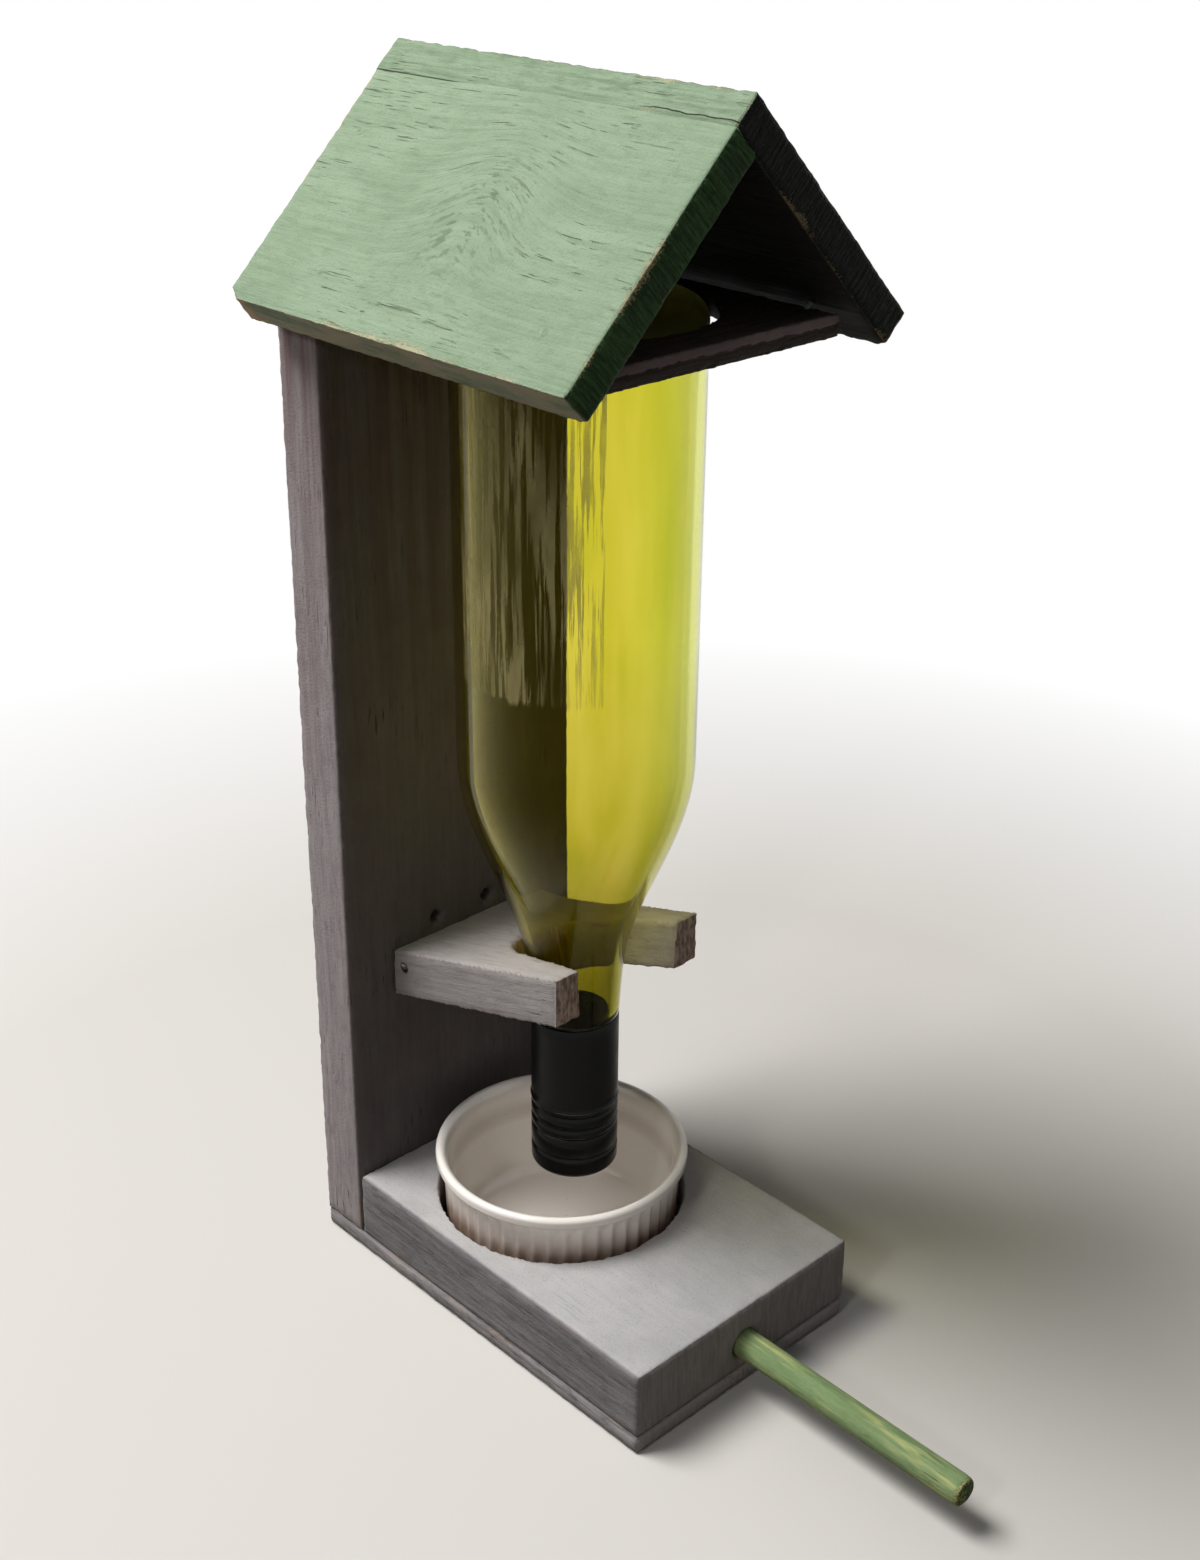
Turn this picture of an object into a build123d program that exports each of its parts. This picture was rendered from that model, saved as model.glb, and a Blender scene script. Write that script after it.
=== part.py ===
"""Bird feeder: a roofed wooden stand that holds an upturned glass bottle over a ramekin.

Millimetres, +Z up, front towards -Y. The origin is the middle of the bottom plate's underside.
"""
import os
from math import atan2, cos, degrees, radians, sin, tan

from build123d import *

# Stand: bottom plate, base block and backboard
board_width = 101.0
plate_thickness = 7.0
block_depth = 142.5
block_height = 25.0
backboard_thickness = 21.0
hang_hole_radius = 2.3
hang_hole_spacing = 23.6
hang_hole_rise = 5.0

# Ramekin and the hole that it stands in
ramekin_body_radius = 42.0
ramekin_rim_step = 2.6
ramekin_foot_taper = 1.4
ramekin_height = 42.8
ramekin_rim_height = 4.6
ramekin_wall = 3.8
ramekin_floor = 5.0
ramekin_corner = 6.0
ramekin_centre_depth = 52.0
flute_count = 48
flute_radius = 3.0
flute_depth = 0.6
ramekin_gap = 1.7

# Perch
perch_diameter = 10.0
perch_reach = 91.5
perch_socket_depth = 22.0
perch_height = 16.5
perch_chamfer = 1.4
perch_clearance = 0.05

# Bottle, upside down, with its mouth at the bottom
bottle_depth = 58.5
seat_height = 136.8
seat_radius = 17.8
neck_flare = 0.06
body_radius = 38.2
shoulder_radius = 25.6
glass_wall = 3.0
glass_base = 6.0
heel_radius = 6.0
punt_depth = 7.0
neck_to_seat = 28.4
seat_to_shoulder = 23.0
shoulder_to_body = 44.0
body_length = 146.5
finish_radius = 11.9
lip_radius = 0.8
thread_depth = 1.0
thread_pitch = 3.6
thread_turns = 2.0
thread_height = 1.6
thread_crest = 0.54
thread_rise = 2.2
thread_sink = 0.3
thread_clearance = 0.2
mouth_radius = 9.25

# Long-skirt closure: turning cap with its insert and liner, and the sleeve left on the neck
closure_radius = 15.0
closure_length = 60.0
cap_length = 16.0
cap_end_radius = 2.0
cap_groove_rise = 7.7
shell_thickness = 0.6
tear_gap = 0.3
liner_thickness = 2.0
groove_radius = 1.6
groove_depth = 0.3
lower_groove_rise = 3.6
upper_groove_rise = 8.5
bead_rise = 11.2
bead_height = 0.3
bead_width = 2.6
closure_fit = 0.05

# Holder board for the bottle's shoulder
holder_width = 64.0
holder_reach = 84.0
holder_thickness = 17.4
holder_tilt = 17.0
slot_setback = 5.5
slot_flare = 0.14
holder_clearance = 0.35

# Ceiling board and roof
ceiling_side_gap = 1.5
ceiling_thickness = 7.0
ceiling_depth = 116.5
ceiling_hole_gap = 2.8
base_above_ceiling = 2.3
roof_pitch = 45.0
roof_thickness = 12.0
roof_slope = 95.0
roof_front_overhang = 9.0
roof_back_overhang = 1.0
seat_gap = 0.05

# Fasteners
screw_radius = 1.75
screw_head_radius = 3.5
screw_head_height = 2.2
screw_length = 28.0
long_screw_length = 42.0
screw_recess = 1.2
recess_span = 4.2
recess_width = 0.84
brad_radius = 0.8
brad_head_radius = 1.3
brad_head_height = 0.7
brad_length = 30.0
short_brad_length = 21.0
long_brad_length = 45.0
point_length = 3.0
fastener_clearance = 0.05
screw_edge = 11.0
holder_screw_inset = 16.0
holder_screw_drop = 11.8
holder_brad_setback = 5.25
holder_brad_drop = 4.5
ceiling_brad_inset = 2.0
ceiling_edge_brad_inset = 16.0
roof_brad_shares = (0.3, 0.75)
ridge_brad_count = 4
ridge_brad_start = 0.4

# Places worked out from those sizes
plate_depth = block_depth + backboard_thickness
front_y = -plate_depth / 2
back_y = plate_depth / 2
board_y = back_y - backboard_thickness
ramekin_y = board_y - ramekin_centre_depth
ramekin_base = plate_thickness
ramekin_rim_radius = ramekin_body_radius + ramekin_rim_step
ramekin_foot_radius = ramekin_body_radius - ramekin_foot_taper
bottle_y = board_y - bottle_depth
neck_z = seat_height - neck_to_seat
shoulder_z = seat_height + seat_to_shoulder
body_z = shoulder_z + shoulder_to_body
bottle_top = body_z + body_length
sleeve_top = neck_z
cap_end = sleeve_top - closure_length
tear_z = cap_end + cap_length
mouth_z = cap_end + shell_thickness + liner_thickness
ceiling_top = bottle_top - base_above_ceiling
ceiling_z = ceiling_top - ceiling_thickness
ceiling_front = board_y - ceiling_depth
ceiling_width = board_width - 2 * ceiling_side_gap
pitch_cos = cos(radians(roof_pitch))
pitch_sin = sin(radians(roof_pitch))
pitch_tan = tan(radians(roof_pitch))
inner_apex = ceiling_top + (ceiling_width / 2 + seat_gap) * pitch_tan
ridge_z = inner_apex + roof_thickness / pitch_cos
roof_front = ceiling_front - roof_front_overhang
roof_back = back_y + roof_back_overhang
roof_length = roof_back - roof_front
lap = roof_thickness / sin(radians(2 * roof_pitch))
ridge_offset = roof_thickness * pitch_tan
tilt_tan = tan(radians(holder_tilt))
holder_drop = holder_thickness / cos(radians(holder_tilt))
holder_back_top = seat_height - bottle_depth * tilt_tan
holder_front_top = holder_back_top + holder_reach * tilt_tan
holder_front = board_y - holder_reach
hang_hole_z = holder_back_top + hang_hole_rise

os.makedirs("parts", exist_ok=True)


def finish(piece, name):
    """Label a finished piece and write it out."""
    piece.part.label = name
    export_step(piece.part, f"parts/{name}.step")


def countersunk_screw(length, extra=0.0, recessed=True):
    """Screw pointing down from its head, which is flush with z = 0; extra widens it into its hole."""
    with BuildPart() as screw:
        with BuildSketch(Plane.XZ):
            with BuildLine():
                Polyline(
                    (0, 0),
                    (screw_head_radius + extra, 0),
                    (screw_radius + extra, -screw_head_height - extra),
                    (screw_radius + extra, point_length - length - extra),
                    (0, -length - extra),
                    close=True,
                )
            make_face()
        revolve(axis=Axis.Z)
        if recessed:
            with BuildSketch():
                Rectangle(recess_span, recess_width)
                Rectangle(recess_width, recess_span)
            extrude(amount=-screw_recess, mode=Mode.SUBTRACT)
    return screw.part


def brad(length, extra=0.0, pit=0.0):
    """Small nail pointing down from its head at z = 0; a hole may go on up past the head as a pit."""
    with BuildPart() as nail:
        with BuildSketch(Plane.XZ):
            with BuildLine():
                Polyline(
                    (0, pit),
                    (brad_head_radius + extra, pit),
                    (brad_head_radius + extra, -brad_head_height - extra),
                    (brad_radius + extra, -brad_head_height - extra),
                    (brad_radius + extra, point_length - length - extra),
                    (0, -length - extra),
                    close=True,
                )
            make_face()
        revolve(axis=Axis.Z)
    return nail.part


def driven(point, direction):
    """Place of a fastener: its head at a point, driven along a direction."""
    return Plane(origin=point, z_dir=-Vector(*direction)).location


def roof_point(side, along, y):
    """Point on a roof board's outer face, a distance down the slope from the ridge."""
    return (side * along * pitch_cos, y, ridge_z - along * pitch_sin)


def into_roof(side):
    """Direction square into a roof board's outer face."""
    return (-side * pitch_sin, 0, -pitch_cos)


screw = countersunk_screw(screw_length)
screw_hole = countersunk_screw(screw_length, fastener_clearance, recessed=False)
long_screw = countersunk_screw(long_screw_length)
long_screw_hole = countersunk_screw(long_screw_length, fastener_clearance, recessed=False)
nail = brad(brad_length)
nail_hole = brad(brad_length, fastener_clearance)
short_nail = brad(short_brad_length)
short_nail_hole = brad(short_brad_length, fastener_clearance)
toe_nail_hole = brad(short_brad_length, fastener_clearance, 2 * brad_head_radius)
long_nail = brad(long_brad_length)
long_nail_hole = brad(long_brad_length, fastener_clearance)

# Where each group of fasteners is driven
screw_x = board_width / 2 - screw_edge
inner_screw_x = screw_x - screw_edge
plate_screw_points = (
    (screw_x, front_y + screw_edge),
    (inner_screw_x, board_y - screw_edge),
    (inner_screw_x, board_y + backboard_thickness / 2),
)
plate_screw_places = [driven((side * x, y, 0), (0, 0, 1)) for side in (-1, 1) for x, y in plate_screw_points]
block_screw_places = [
    driven((side * screw_x, back_y, plate_thickness + block_height / 2), (0, -1, 0)) for side in (-1, 1)
]
holder_screw_z = holder_back_top - holder_screw_drop
holder_screw_x = holder_width / 2 - holder_screw_inset
holder_screw_places = [driven((side * holder_screw_x, back_y, holder_screw_z), (0, -1, 0)) for side in (-1, 1)]
holder_brad_z = holder_back_top - holder_brad_drop
holder_brad_x = holder_width / 2 - brad_head_radius
holder_brad_y = board_y - holder_brad_setback
holder_brad_places = [
    driven((side * holder_brad_x, holder_brad_y, holder_brad_z), (-side, 1, 0)) for side in (-1, 1)
]
gable_y = board_y + backboard_thickness / 2
gable_length = board_width / 2 / pitch_cos
roof_brad_places = [
    driven(roof_point(side, ridge_offset + share * gable_length, gable_y), into_roof(side))
    for side in (-1, 1)
    for share in roof_brad_shares
]
ridge_brad_step = roof_length / ridge_brad_count
ridge_brad_places = [
    driven(roof_point(1, lap / 2, roof_front + ridge_brad_step * (index + ridge_brad_start)), into_roof(1))
    for index in range(ridge_brad_count)
]
ceiling_corner = ceiling_width / 2 / pitch_cos - ceiling_brad_inset + ridge_offset
ceiling_brad_places = [
    driven(roof_point(side, ceiling_corner, y), into_roof(side))
    for side in (-1, 1)
    for y in (ceiling_front + screw_edge, board_y - screw_edge)
]
ceiling_edge_brad_x = ceiling_width / 2 - ceiling_edge_brad_inset
ceiling_edge_brad_z = ceiling_z + ceiling_thickness / 2
ceiling_edge_brad_places = [
    driven((side * ceiling_edge_brad_x, back_y, ceiling_edge_brad_z), (0, -1, 0)) for side in (-1, 1)
]

# Bottom plate: thin plywood under the block and the backboard
with BuildPart() as base_plate:
    with BuildSketch():
        Rectangle(board_width, plate_depth)
    extrude(amount=plate_thickness)
    with Locations(*plate_screw_places):
        add(screw_hole, mode=Mode.SUBTRACT)
finish(base_plate, "base_plate")

# Base block: thick board with the ramekin's hole and the perch's socket
hole_radius = ramekin_body_radius + ramekin_gap
with BuildPart() as base_block:
    with BuildSketch(Plane.XY.offset(plate_thickness)):
        with Locations((0, (front_y + board_y) / 2)):
            Rectangle(board_width, block_depth)
        with Locations((0, ramekin_y)):
            Circle(hole_radius, mode=Mode.SUBTRACT)
    extrude(amount=block_height)
    with BuildSketch(Plane.XZ.offset(-front_y)):
        with Locations((0, perch_height)):
            Circle(perch_diameter / 2 + perch_clearance)
    extrude(amount=-perch_socket_depth, mode=Mode.SUBTRACT)
    with Locations(*plate_screw_places):
        add(screw_hole, mode=Mode.SUBTRACT)
    with Locations(*block_screw_places):
        add(long_screw_hole, mode=Mode.SUBTRACT)
finish(base_block, "base_block")

# Backboard: stands on the plate behind the block, with a gable top under the roof boards
with BuildPart() as backboard:
    with BuildSketch(Plane.XZ.offset(-board_y)):
        with BuildLine():
            eave_z = inner_apex - board_width / 2 * pitch_tan
            Polyline(
                (-board_width / 2, plate_thickness),
                (board_width / 2, plate_thickness),
                (board_width / 2, eave_z),
                (0, inner_apex),
                (-board_width / 2, eave_z),
                close=True,
            )
        make_face()
        with Locations((0, hang_hole_z)):
            with GridLocations(hang_hole_spacing, 0, 2, 1):
                Circle(hang_hole_radius, mode=Mode.SUBTRACT)
    extrude(amount=-backboard_thickness)
    with Locations(*plate_screw_places):
        add(screw_hole, mode=Mode.SUBTRACT)
    with Locations(*block_screw_places, *holder_screw_places):
        add(long_screw_hole, mode=Mode.SUBTRACT)
    with Locations(*holder_brad_places):
        add(toe_nail_hole, mode=Mode.SUBTRACT)
    with Locations(*roof_brad_places):
        add(nail_hole, mode=Mode.SUBTRACT)
    with Locations(*ceiling_edge_brad_places):
        add(long_nail_hole, mode=Mode.SUBTRACT)
finish(backboard, "backboard")

# Holder: short board rising to the front, with a flared slot that the bottle's shoulder sits in
slot_plane = Plane(
    origin=(0, bottle_y, seat_height),
    x_dir=(1, 0, 0),
    z_dir=(0, sin(radians(holder_tilt)), cos(radians(holder_tilt))),
)
slot_front = -(holder_reach - bottle_depth) / cos(radians(holder_tilt))
slot_end_radius = seat_radius + holder_clearance - slot_flare * slot_setback
slot_mouth = seat_radius + holder_clearance - slot_flare * slot_front
with BuildPart() as neck_holder:
    with BuildSketch(Plane.YZ):
        with BuildLine():
            Polyline(
                (board_y, holder_back_top),
                (board_y, holder_back_top - holder_drop),
                (holder_front, holder_front_top - holder_drop),
                (holder_front, holder_front_top),
                close=True,
            )
        make_face()
    extrude(amount=holder_width / 2, both=True)
    with BuildSketch(slot_plane):
        with BuildLine():
            Polyline(
                (-slot_end_radius, slot_setback),
                (-slot_mouth, slot_front),
                (-slot_mouth, slot_front - holder_thickness),
                (slot_mouth, slot_front - holder_thickness),
                (slot_mouth, slot_front),
                (slot_end_radius, slot_setback),
            )
            ThreePointArc(
                (slot_end_radius, slot_setback),
                (0, slot_setback + slot_end_radius),
                (-slot_end_radius, slot_setback),
            )
        make_face()
    extrude(amount=2 * holder_thickness, both=True, mode=Mode.SUBTRACT)
    with Locations(*holder_screw_places):
        add(long_screw_hole, mode=Mode.SUBTRACT)
    with Locations(*holder_brad_places):
        add(toe_nail_hole, mode=Mode.SUBTRACT)
finish(neck_holder, "neck_holder")

# Ceiling board: plywood between the roof boards, with the hole that steadies the bottle's base
with BuildPart() as ceiling_board:
    with BuildSketch(Plane.XY.offset(ceiling_z)):
        with Locations((0, (ceiling_front + board_y) / 2)):
            Rectangle(ceiling_width, ceiling_depth)
        with Locations((0, bottle_y)):
            Circle(body_radius + ceiling_hole_gap, mode=Mode.SUBTRACT)
    extrude(amount=ceiling_thickness)
    with Locations(*ceiling_brad_places):
        add(short_nail_hole, mode=Mode.SUBTRACT)
    with Locations(*ceiling_edge_brad_places):
        add(long_nail_hole, mode=Mode.SUBTRACT)
finish(ceiling_board, "ceiling_board")

# Roof boards: the right one laps over the upper edge of the left one at the ridge
with BuildPart() as roof_board_right:
    with BuildSketch(Plane.XZ.offset(-roof_front)):
        with BuildLine():
            Polyline(
                (0, ridge_z),
                (roof_slope * pitch_cos, ridge_z - roof_slope * pitch_sin),
                (
                    roof_slope * pitch_cos - roof_thickness * pitch_sin,
                    ridge_z - roof_slope * pitch_sin - roof_thickness * pitch_cos,
                ),
                (-lap * pitch_cos, ridge_z - lap * pitch_sin),
                close=True,
            )
        make_face()
    extrude(amount=-roof_length)
    with Locations(*[place for place in roof_brad_places if place.position.X > 0], *ridge_brad_places):
        add(nail_hole, mode=Mode.SUBTRACT)
    with Locations(*[place for place in ceiling_brad_places if place.position.X > 0]):
        add(short_nail_hole, mode=Mode.SUBTRACT)
finish(roof_board_right, "roof_board_right")

with BuildPart() as roof_board_left:
    with BuildSketch(Plane.XZ.offset(-roof_front)):
        with BuildLine():
            Polyline(
                (-lap * pitch_cos, ridge_z - lap * pitch_sin),
                (-roof_slope * pitch_cos, ridge_z - roof_slope * pitch_sin),
                (
                    -roof_slope * pitch_cos + roof_thickness * pitch_sin,
                    ridge_z - roof_slope * pitch_sin - roof_thickness * pitch_cos,
                ),
                (0, inner_apex),
                close=True,
            )
        make_face()
    extrude(amount=-roof_length)
    with Locations(*[place for place in roof_brad_places if place.position.X < 0], *ridge_brad_places):
        add(nail_hole, mode=Mode.SUBTRACT)
    with Locations(*[place for place in ceiling_brad_places if place.position.X < 0]):
        add(short_nail_hole, mode=Mode.SUBTRACT)
finish(roof_board_left, "roof_board_left")

# Perch: dowel in the block's front socket
with BuildPart() as perch:
    with BuildSketch(Plane.XZ.offset(-front_y - perch_socket_depth)):
        with Locations((0, perch_height)):
            Circle(perch_diameter / 2)
    extrude(amount=perch_reach + perch_socket_depth)
    chamfer(perch.edges().sort_by(Axis.Y)[0], perch_chamfer)
finish(perch, "perch")

# Ramekin: fluted ceramic dish standing on the plate inside the block's hole
with BuildPart() as ramekin:
    with BuildSketch(Plane.XZ.offset(-ramekin_y)):
        rim_z = ramekin_base + ramekin_height
        body_top = rim_z - ramekin_rim_height
        floor_z = ramekin_base + ramekin_floor
        lip = ramekin_wall / 2
        inner_rim = ramekin_rim_radius - ramekin_wall
        inner_foot = ramekin_foot_radius - ramekin_wall
        with BuildLine():
            Polyline((0, floor_z), (0, ramekin_base), (ramekin_foot_radius, ramekin_base))
            Line((ramekin_foot_radius, ramekin_base), (ramekin_body_radius, body_top - lip))
            Line((ramekin_body_radius, body_top - lip), (ramekin_rim_radius, body_top))
            Line((ramekin_rim_radius, body_top), (ramekin_rim_radius, rim_z - lip))
            ThreePointArc(
                (ramekin_rim_radius, rim_z - lip),
                (ramekin_rim_radius - lip, rim_z),
                (inner_rim, rim_z - lip),
            )
            Line((inner_rim, rim_z - lip), (inner_foot, floor_z))
            Line((inner_foot, floor_z), (0, floor_z))
        make_face()
    revolve(axis=Axis((0, ramekin_y, 0), (0, 0, 1)))
    floor_edge = ramekin.edges().filter_by(GeomType.CIRCLE).filter_by(lambda edge: edge.radius < inner_foot + lip)
    fillet(floor_edge, ramekin_corner)
    flute_length = body_top - lip - ramekin_base
    flute_lean = degrees(atan2(ramekin_body_radius - ramekin_foot_radius, flute_length))
    flute_middle = (ramekin_body_radius + ramekin_foot_radius) / 2
    with Locations((0, ramekin_y, ramekin_base + flute_length / 2)):
        with PolarLocations(flute_middle + flute_radius - flute_depth, flute_count):
            Cylinder(flute_radius, flute_length, rotation=(0, flute_lean, 0), mode=Mode.SUBTRACT)
finish(ramekin, "ramekin")

# Bottle: clear glass, standing on its mouth, with a screw finish, a sloping shoulder and a punt
neck_radius = closure_radius - shell_thickness - closure_fit
bead_top = tear_z + bead_width
neck_start = bead_top + bead_width + neck_radius - finish_radius
collar_z = neck_z + closure_radius - neck_radius
punt_radius = body_radius - 2 * heel_radius
punt_inner = bottle_top - glass_base
thread_z = mouth_z + thread_rise


def bottle_wall(inset):
    """Side of the bottle from the collar to the straight body, moved in by an inset."""
    return Spline(
        (closure_radius - inset, collar_z),
        (seat_radius - inset, seat_height),
        (shoulder_radius - inset, shoulder_z),
        (body_radius - inset, body_z),
        tangents=[(neck_flare, 1), (0, 1)],
    )


with BuildPart() as bottle:
    with BuildSketch(Plane.XZ.offset(-bottle_y)):
        with BuildLine():
            Line((mouth_radius, mouth_z), (finish_radius - lip_radius, mouth_z))
            RadiusArc((finish_radius - lip_radius, mouth_z), (finish_radius, mouth_z + lip_radius), -lip_radius)
            Line((finish_radius, mouth_z + lip_radius), (finish_radius, tear_z))
            ThreePointArc(
                (finish_radius, tear_z),
                (finish_radius + bead_width / 2, (tear_z + bead_top) / 2),
                (finish_radius, bead_top),
            )
            Polyline(
                (finish_radius, bead_top),
                (finish_radius, bead_top + bead_width),
                (neck_radius, neck_start),
                (neck_radius, neck_z),
                (closure_radius, collar_z),
            )
            bottle_wall(0)
            Line((body_radius, body_z), (body_radius, bottle_top - heel_radius))
            RadiusArc((body_radius, bottle_top - heel_radius), (body_radius - heel_radius, bottle_top), -heel_radius)
            Line((body_radius - heel_radius, bottle_top), (punt_radius, bottle_top))
            TangentArc((0, bottle_top - punt_depth), (punt_radius, bottle_top), tangent=(1, 0))
            Line((0, bottle_top - punt_depth), (0, punt_inner - punt_depth))
            TangentArc((0, punt_inner - punt_depth), (punt_radius, punt_inner), tangent=(1, 0))
            inner_radius = body_radius - glass_wall
            Line((punt_radius, punt_inner), (inner_radius - heel_radius, punt_inner))
            RadiusArc((inner_radius - heel_radius, punt_inner), (inner_radius, punt_inner - heel_radius), heel_radius)
            Line((inner_radius, punt_inner - heel_radius), (inner_radius, body_z))
            bottle_wall(glass_wall)
            Polyline(
                (closure_radius - glass_wall, collar_z),
                (mouth_radius, bead_top),
                (mouth_radius, mouth_z),
            )
        make_face()
    revolve(axis=Axis((0, bottle_y, 0), (0, 0, 1)))
    with BuildLine() as thread_path:
        Helix(thread_pitch, thread_pitch * thread_turns, finish_radius, center=(0, bottle_y, thread_z))
    with BuildSketch(Plane(origin=thread_path.line @ 0, x_dir=(1, 0, 0), z_dir=thread_path.line % 0)):
        with BuildLine():
            Polyline(
                (-thread_sink, -thread_height / 2),
                (thread_depth, -thread_crest / 2),
                (thread_depth, thread_crest / 2),
                (-thread_sink, thread_height / 2),
                close=True,
            )
        make_face()
    sweep(is_frenet=True)
finish(bottle, "bottle")

# Sleeve: stays on the neck above the tear line, with two rolled grooves and a bead
inner_shell = closure_radius - shell_thickness
with BuildPart() as cap_sleeve:
    with BuildSketch(Plane.XZ.offset(-bottle_y)):
        with Locations((0, tear_z + tear_gap)):
            Rectangle(closure_radius, sleeve_top - tear_z - tear_gap, align=Align.MIN)
        for rise in (lower_groove_rise, upper_groove_rise):
            with Locations((closure_radius + groove_radius - groove_depth, tear_z + rise)):
                Circle(groove_radius, mode=Mode.SUBTRACT)
        with Locations((closure_radius + bead_height - bead_width / 2, tear_z + bead_rise)):
            Circle(bead_width / 2)
        with Locations((0, tear_z)):
            Rectangle(inner_shell, closure_length, align=Align.MIN, mode=Mode.SUBTRACT)
    revolve(axis=Axis((0, bottle_y, 0), (0, 0, 1)))
finish(cap_sleeve, "cap_sleeve")

# Screw cap: thin drawn shell that turns on the bottle's thread
with BuildPart() as screw_cap:
    with BuildSketch(Plane.XZ.offset(-bottle_y)):
        cap_flat = closure_radius - cap_end_radius
        cap_straight = cap_end + cap_end_radius
        cap_inside = cap_end + shell_thickness
        with BuildLine():
            Line((0, cap_end), (cap_flat, cap_end))
            RadiusArc((cap_flat, cap_end), (closure_radius, cap_straight), -cap_end_radius)
            Polyline((closure_radius, cap_straight), (closure_radius, tear_z), (inner_shell, tear_z))
            Line((inner_shell, tear_z), (inner_shell, cap_straight))
            RadiusArc((inner_shell, cap_straight), (cap_flat, cap_inside), cap_end_radius - shell_thickness)
            Polyline((cap_flat, cap_inside), (0, cap_inside), (0, cap_end))
        make_face()
        with Locations((closure_radius + groove_radius - groove_depth, cap_end + cap_groove_rise)):
            Circle(groove_radius, mode=Mode.SUBTRACT)
    revolve(axis=Axis((0, bottle_y, 0), (0, 0, 1)))
finish(screw_cap, "screw_cap")

# Threaded insert: plastic ring pressed into the cap, running on the bottle's thread
with BuildPart() as cap_insert:
    with BuildSketch(Plane.XY.offset(cap_straight)):
        with Locations((0, bottle_y)):
            Circle(inner_shell - closure_fit)
            Circle(finish_radius + thread_depth + thread_clearance, mode=Mode.SUBTRACT)
    extrude(amount=cap_length - cap_end_radius - tear_gap)
finish(cap_insert, "cap_insert")

# Liner: soft disc in the cap that closes the bottle's mouth
with BuildPart() as cap_liner:
    with BuildSketch(Plane.XY.offset(cap_inside)):
        with Locations((0, bottle_y)):
            Circle(cap_flat - closure_fit)
    extrude(amount=liner_thickness)
finish(cap_liner, "cap_liner")

# Fasteners, each group in its own holes
with BuildPart() as plate_screws:
    with Locations(*plate_screw_places):
        add(screw)
finish(plate_screws, "plate_screws")

with BuildPart() as block_screws:
    with Locations(*block_screw_places):
        add(long_screw)
finish(block_screws, "block_screws")

with BuildPart() as holder_screws:
    with Locations(*holder_screw_places):
        add(long_screw)
finish(holder_screws, "holder_screws")

with BuildPart() as holder_brads:
    with Locations(*holder_brad_places):
        add(short_nail)
finish(holder_brads, "holder_brads")

with BuildPart() as roof_brads:
    with Locations(*roof_brad_places):
        add(nail)
finish(roof_brads, "roof_brads")

with BuildPart() as ridge_brads:
    with Locations(*ridge_brad_places):
        add(nail)
finish(ridge_brads, "ridge_brads")

with BuildPart() as ceiling_brads:
    with Locations(*ceiling_brad_places):
        add(short_nail)
    with Locations(*ceiling_edge_brad_places):
        add(long_nail)
finish(ceiling_brads, "ceiling_brads")
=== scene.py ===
"""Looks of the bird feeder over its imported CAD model: metres, +Z up, front towards -Y."""
from math import atan2, cos, pi, radians, sin, tan

import bmesh
import bpy
import numpy
from mathutils import Matrix, Vector, kdtree


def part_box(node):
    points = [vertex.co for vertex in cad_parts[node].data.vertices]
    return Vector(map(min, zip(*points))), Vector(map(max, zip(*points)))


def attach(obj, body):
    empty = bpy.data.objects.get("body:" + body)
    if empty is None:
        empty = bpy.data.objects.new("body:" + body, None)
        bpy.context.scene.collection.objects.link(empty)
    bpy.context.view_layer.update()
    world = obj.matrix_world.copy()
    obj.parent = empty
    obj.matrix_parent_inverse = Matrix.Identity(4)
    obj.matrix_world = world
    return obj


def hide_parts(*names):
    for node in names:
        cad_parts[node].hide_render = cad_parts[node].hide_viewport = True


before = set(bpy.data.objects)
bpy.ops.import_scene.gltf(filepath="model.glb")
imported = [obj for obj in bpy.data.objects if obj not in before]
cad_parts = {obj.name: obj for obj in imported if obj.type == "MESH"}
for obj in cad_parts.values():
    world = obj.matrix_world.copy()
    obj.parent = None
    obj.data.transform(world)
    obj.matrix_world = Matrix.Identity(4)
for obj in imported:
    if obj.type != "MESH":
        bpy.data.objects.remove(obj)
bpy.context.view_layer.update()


# Bottom plate: a sheet of thin plywood as wide as the boards above it, sawn square.
# It is screwed up into the block and the backboard, and its sides took the stand's grey paint.
MM = 0.001


def hold(piece):
    """Make a piece the only selected and active one."""
    bpy.ops.object.select_all(action="DESELECT")
    piece.select_set(True)
    bpy.context.view_layer.objects.active = piece


def add_shape(operator, **settings):
    """Add one of the plain shapes with nothing else selected."""
    bpy.ops.object.select_all(action="DESELECT")
    operator(**settings)
    return bpy.context.object


def settle(piece):
    """Bake a piece's place, turn and size into its mesh."""
    hold(piece)
    bpy.ops.object.transform_apply(location=True, rotation=True, scale=True)


def add_board(name, low, high):
    """Start a board as a box between two corners."""
    low, high = Vector(low), Vector(high)
    board = add_shape(bpy.ops.mesh.primitive_cube_add, size=1, location=(low + high) / 2)
    board.name = name
    board.scale = high - low
    settle(board)
    return board


def apply_modifier(piece, kind, **settings):
    """Add a modifier with its settings and apply it."""
    hold(piece)
    modifier = piece.modifiers.new(kind.lower(), kind)
    for setting, value in settings.items():
        setattr(modifier, setting, value)
    bpy.ops.object.modifier_apply(modifier=modifier.name)


def carve(piece, cutter):
    """Take a cutter's shape out of a piece."""
    apply_modifier(piece, "BOOLEAN", object=cutter, operation="DIFFERENCE", solver="EXACT")
    bpy.data.objects.remove(cutter)


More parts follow.
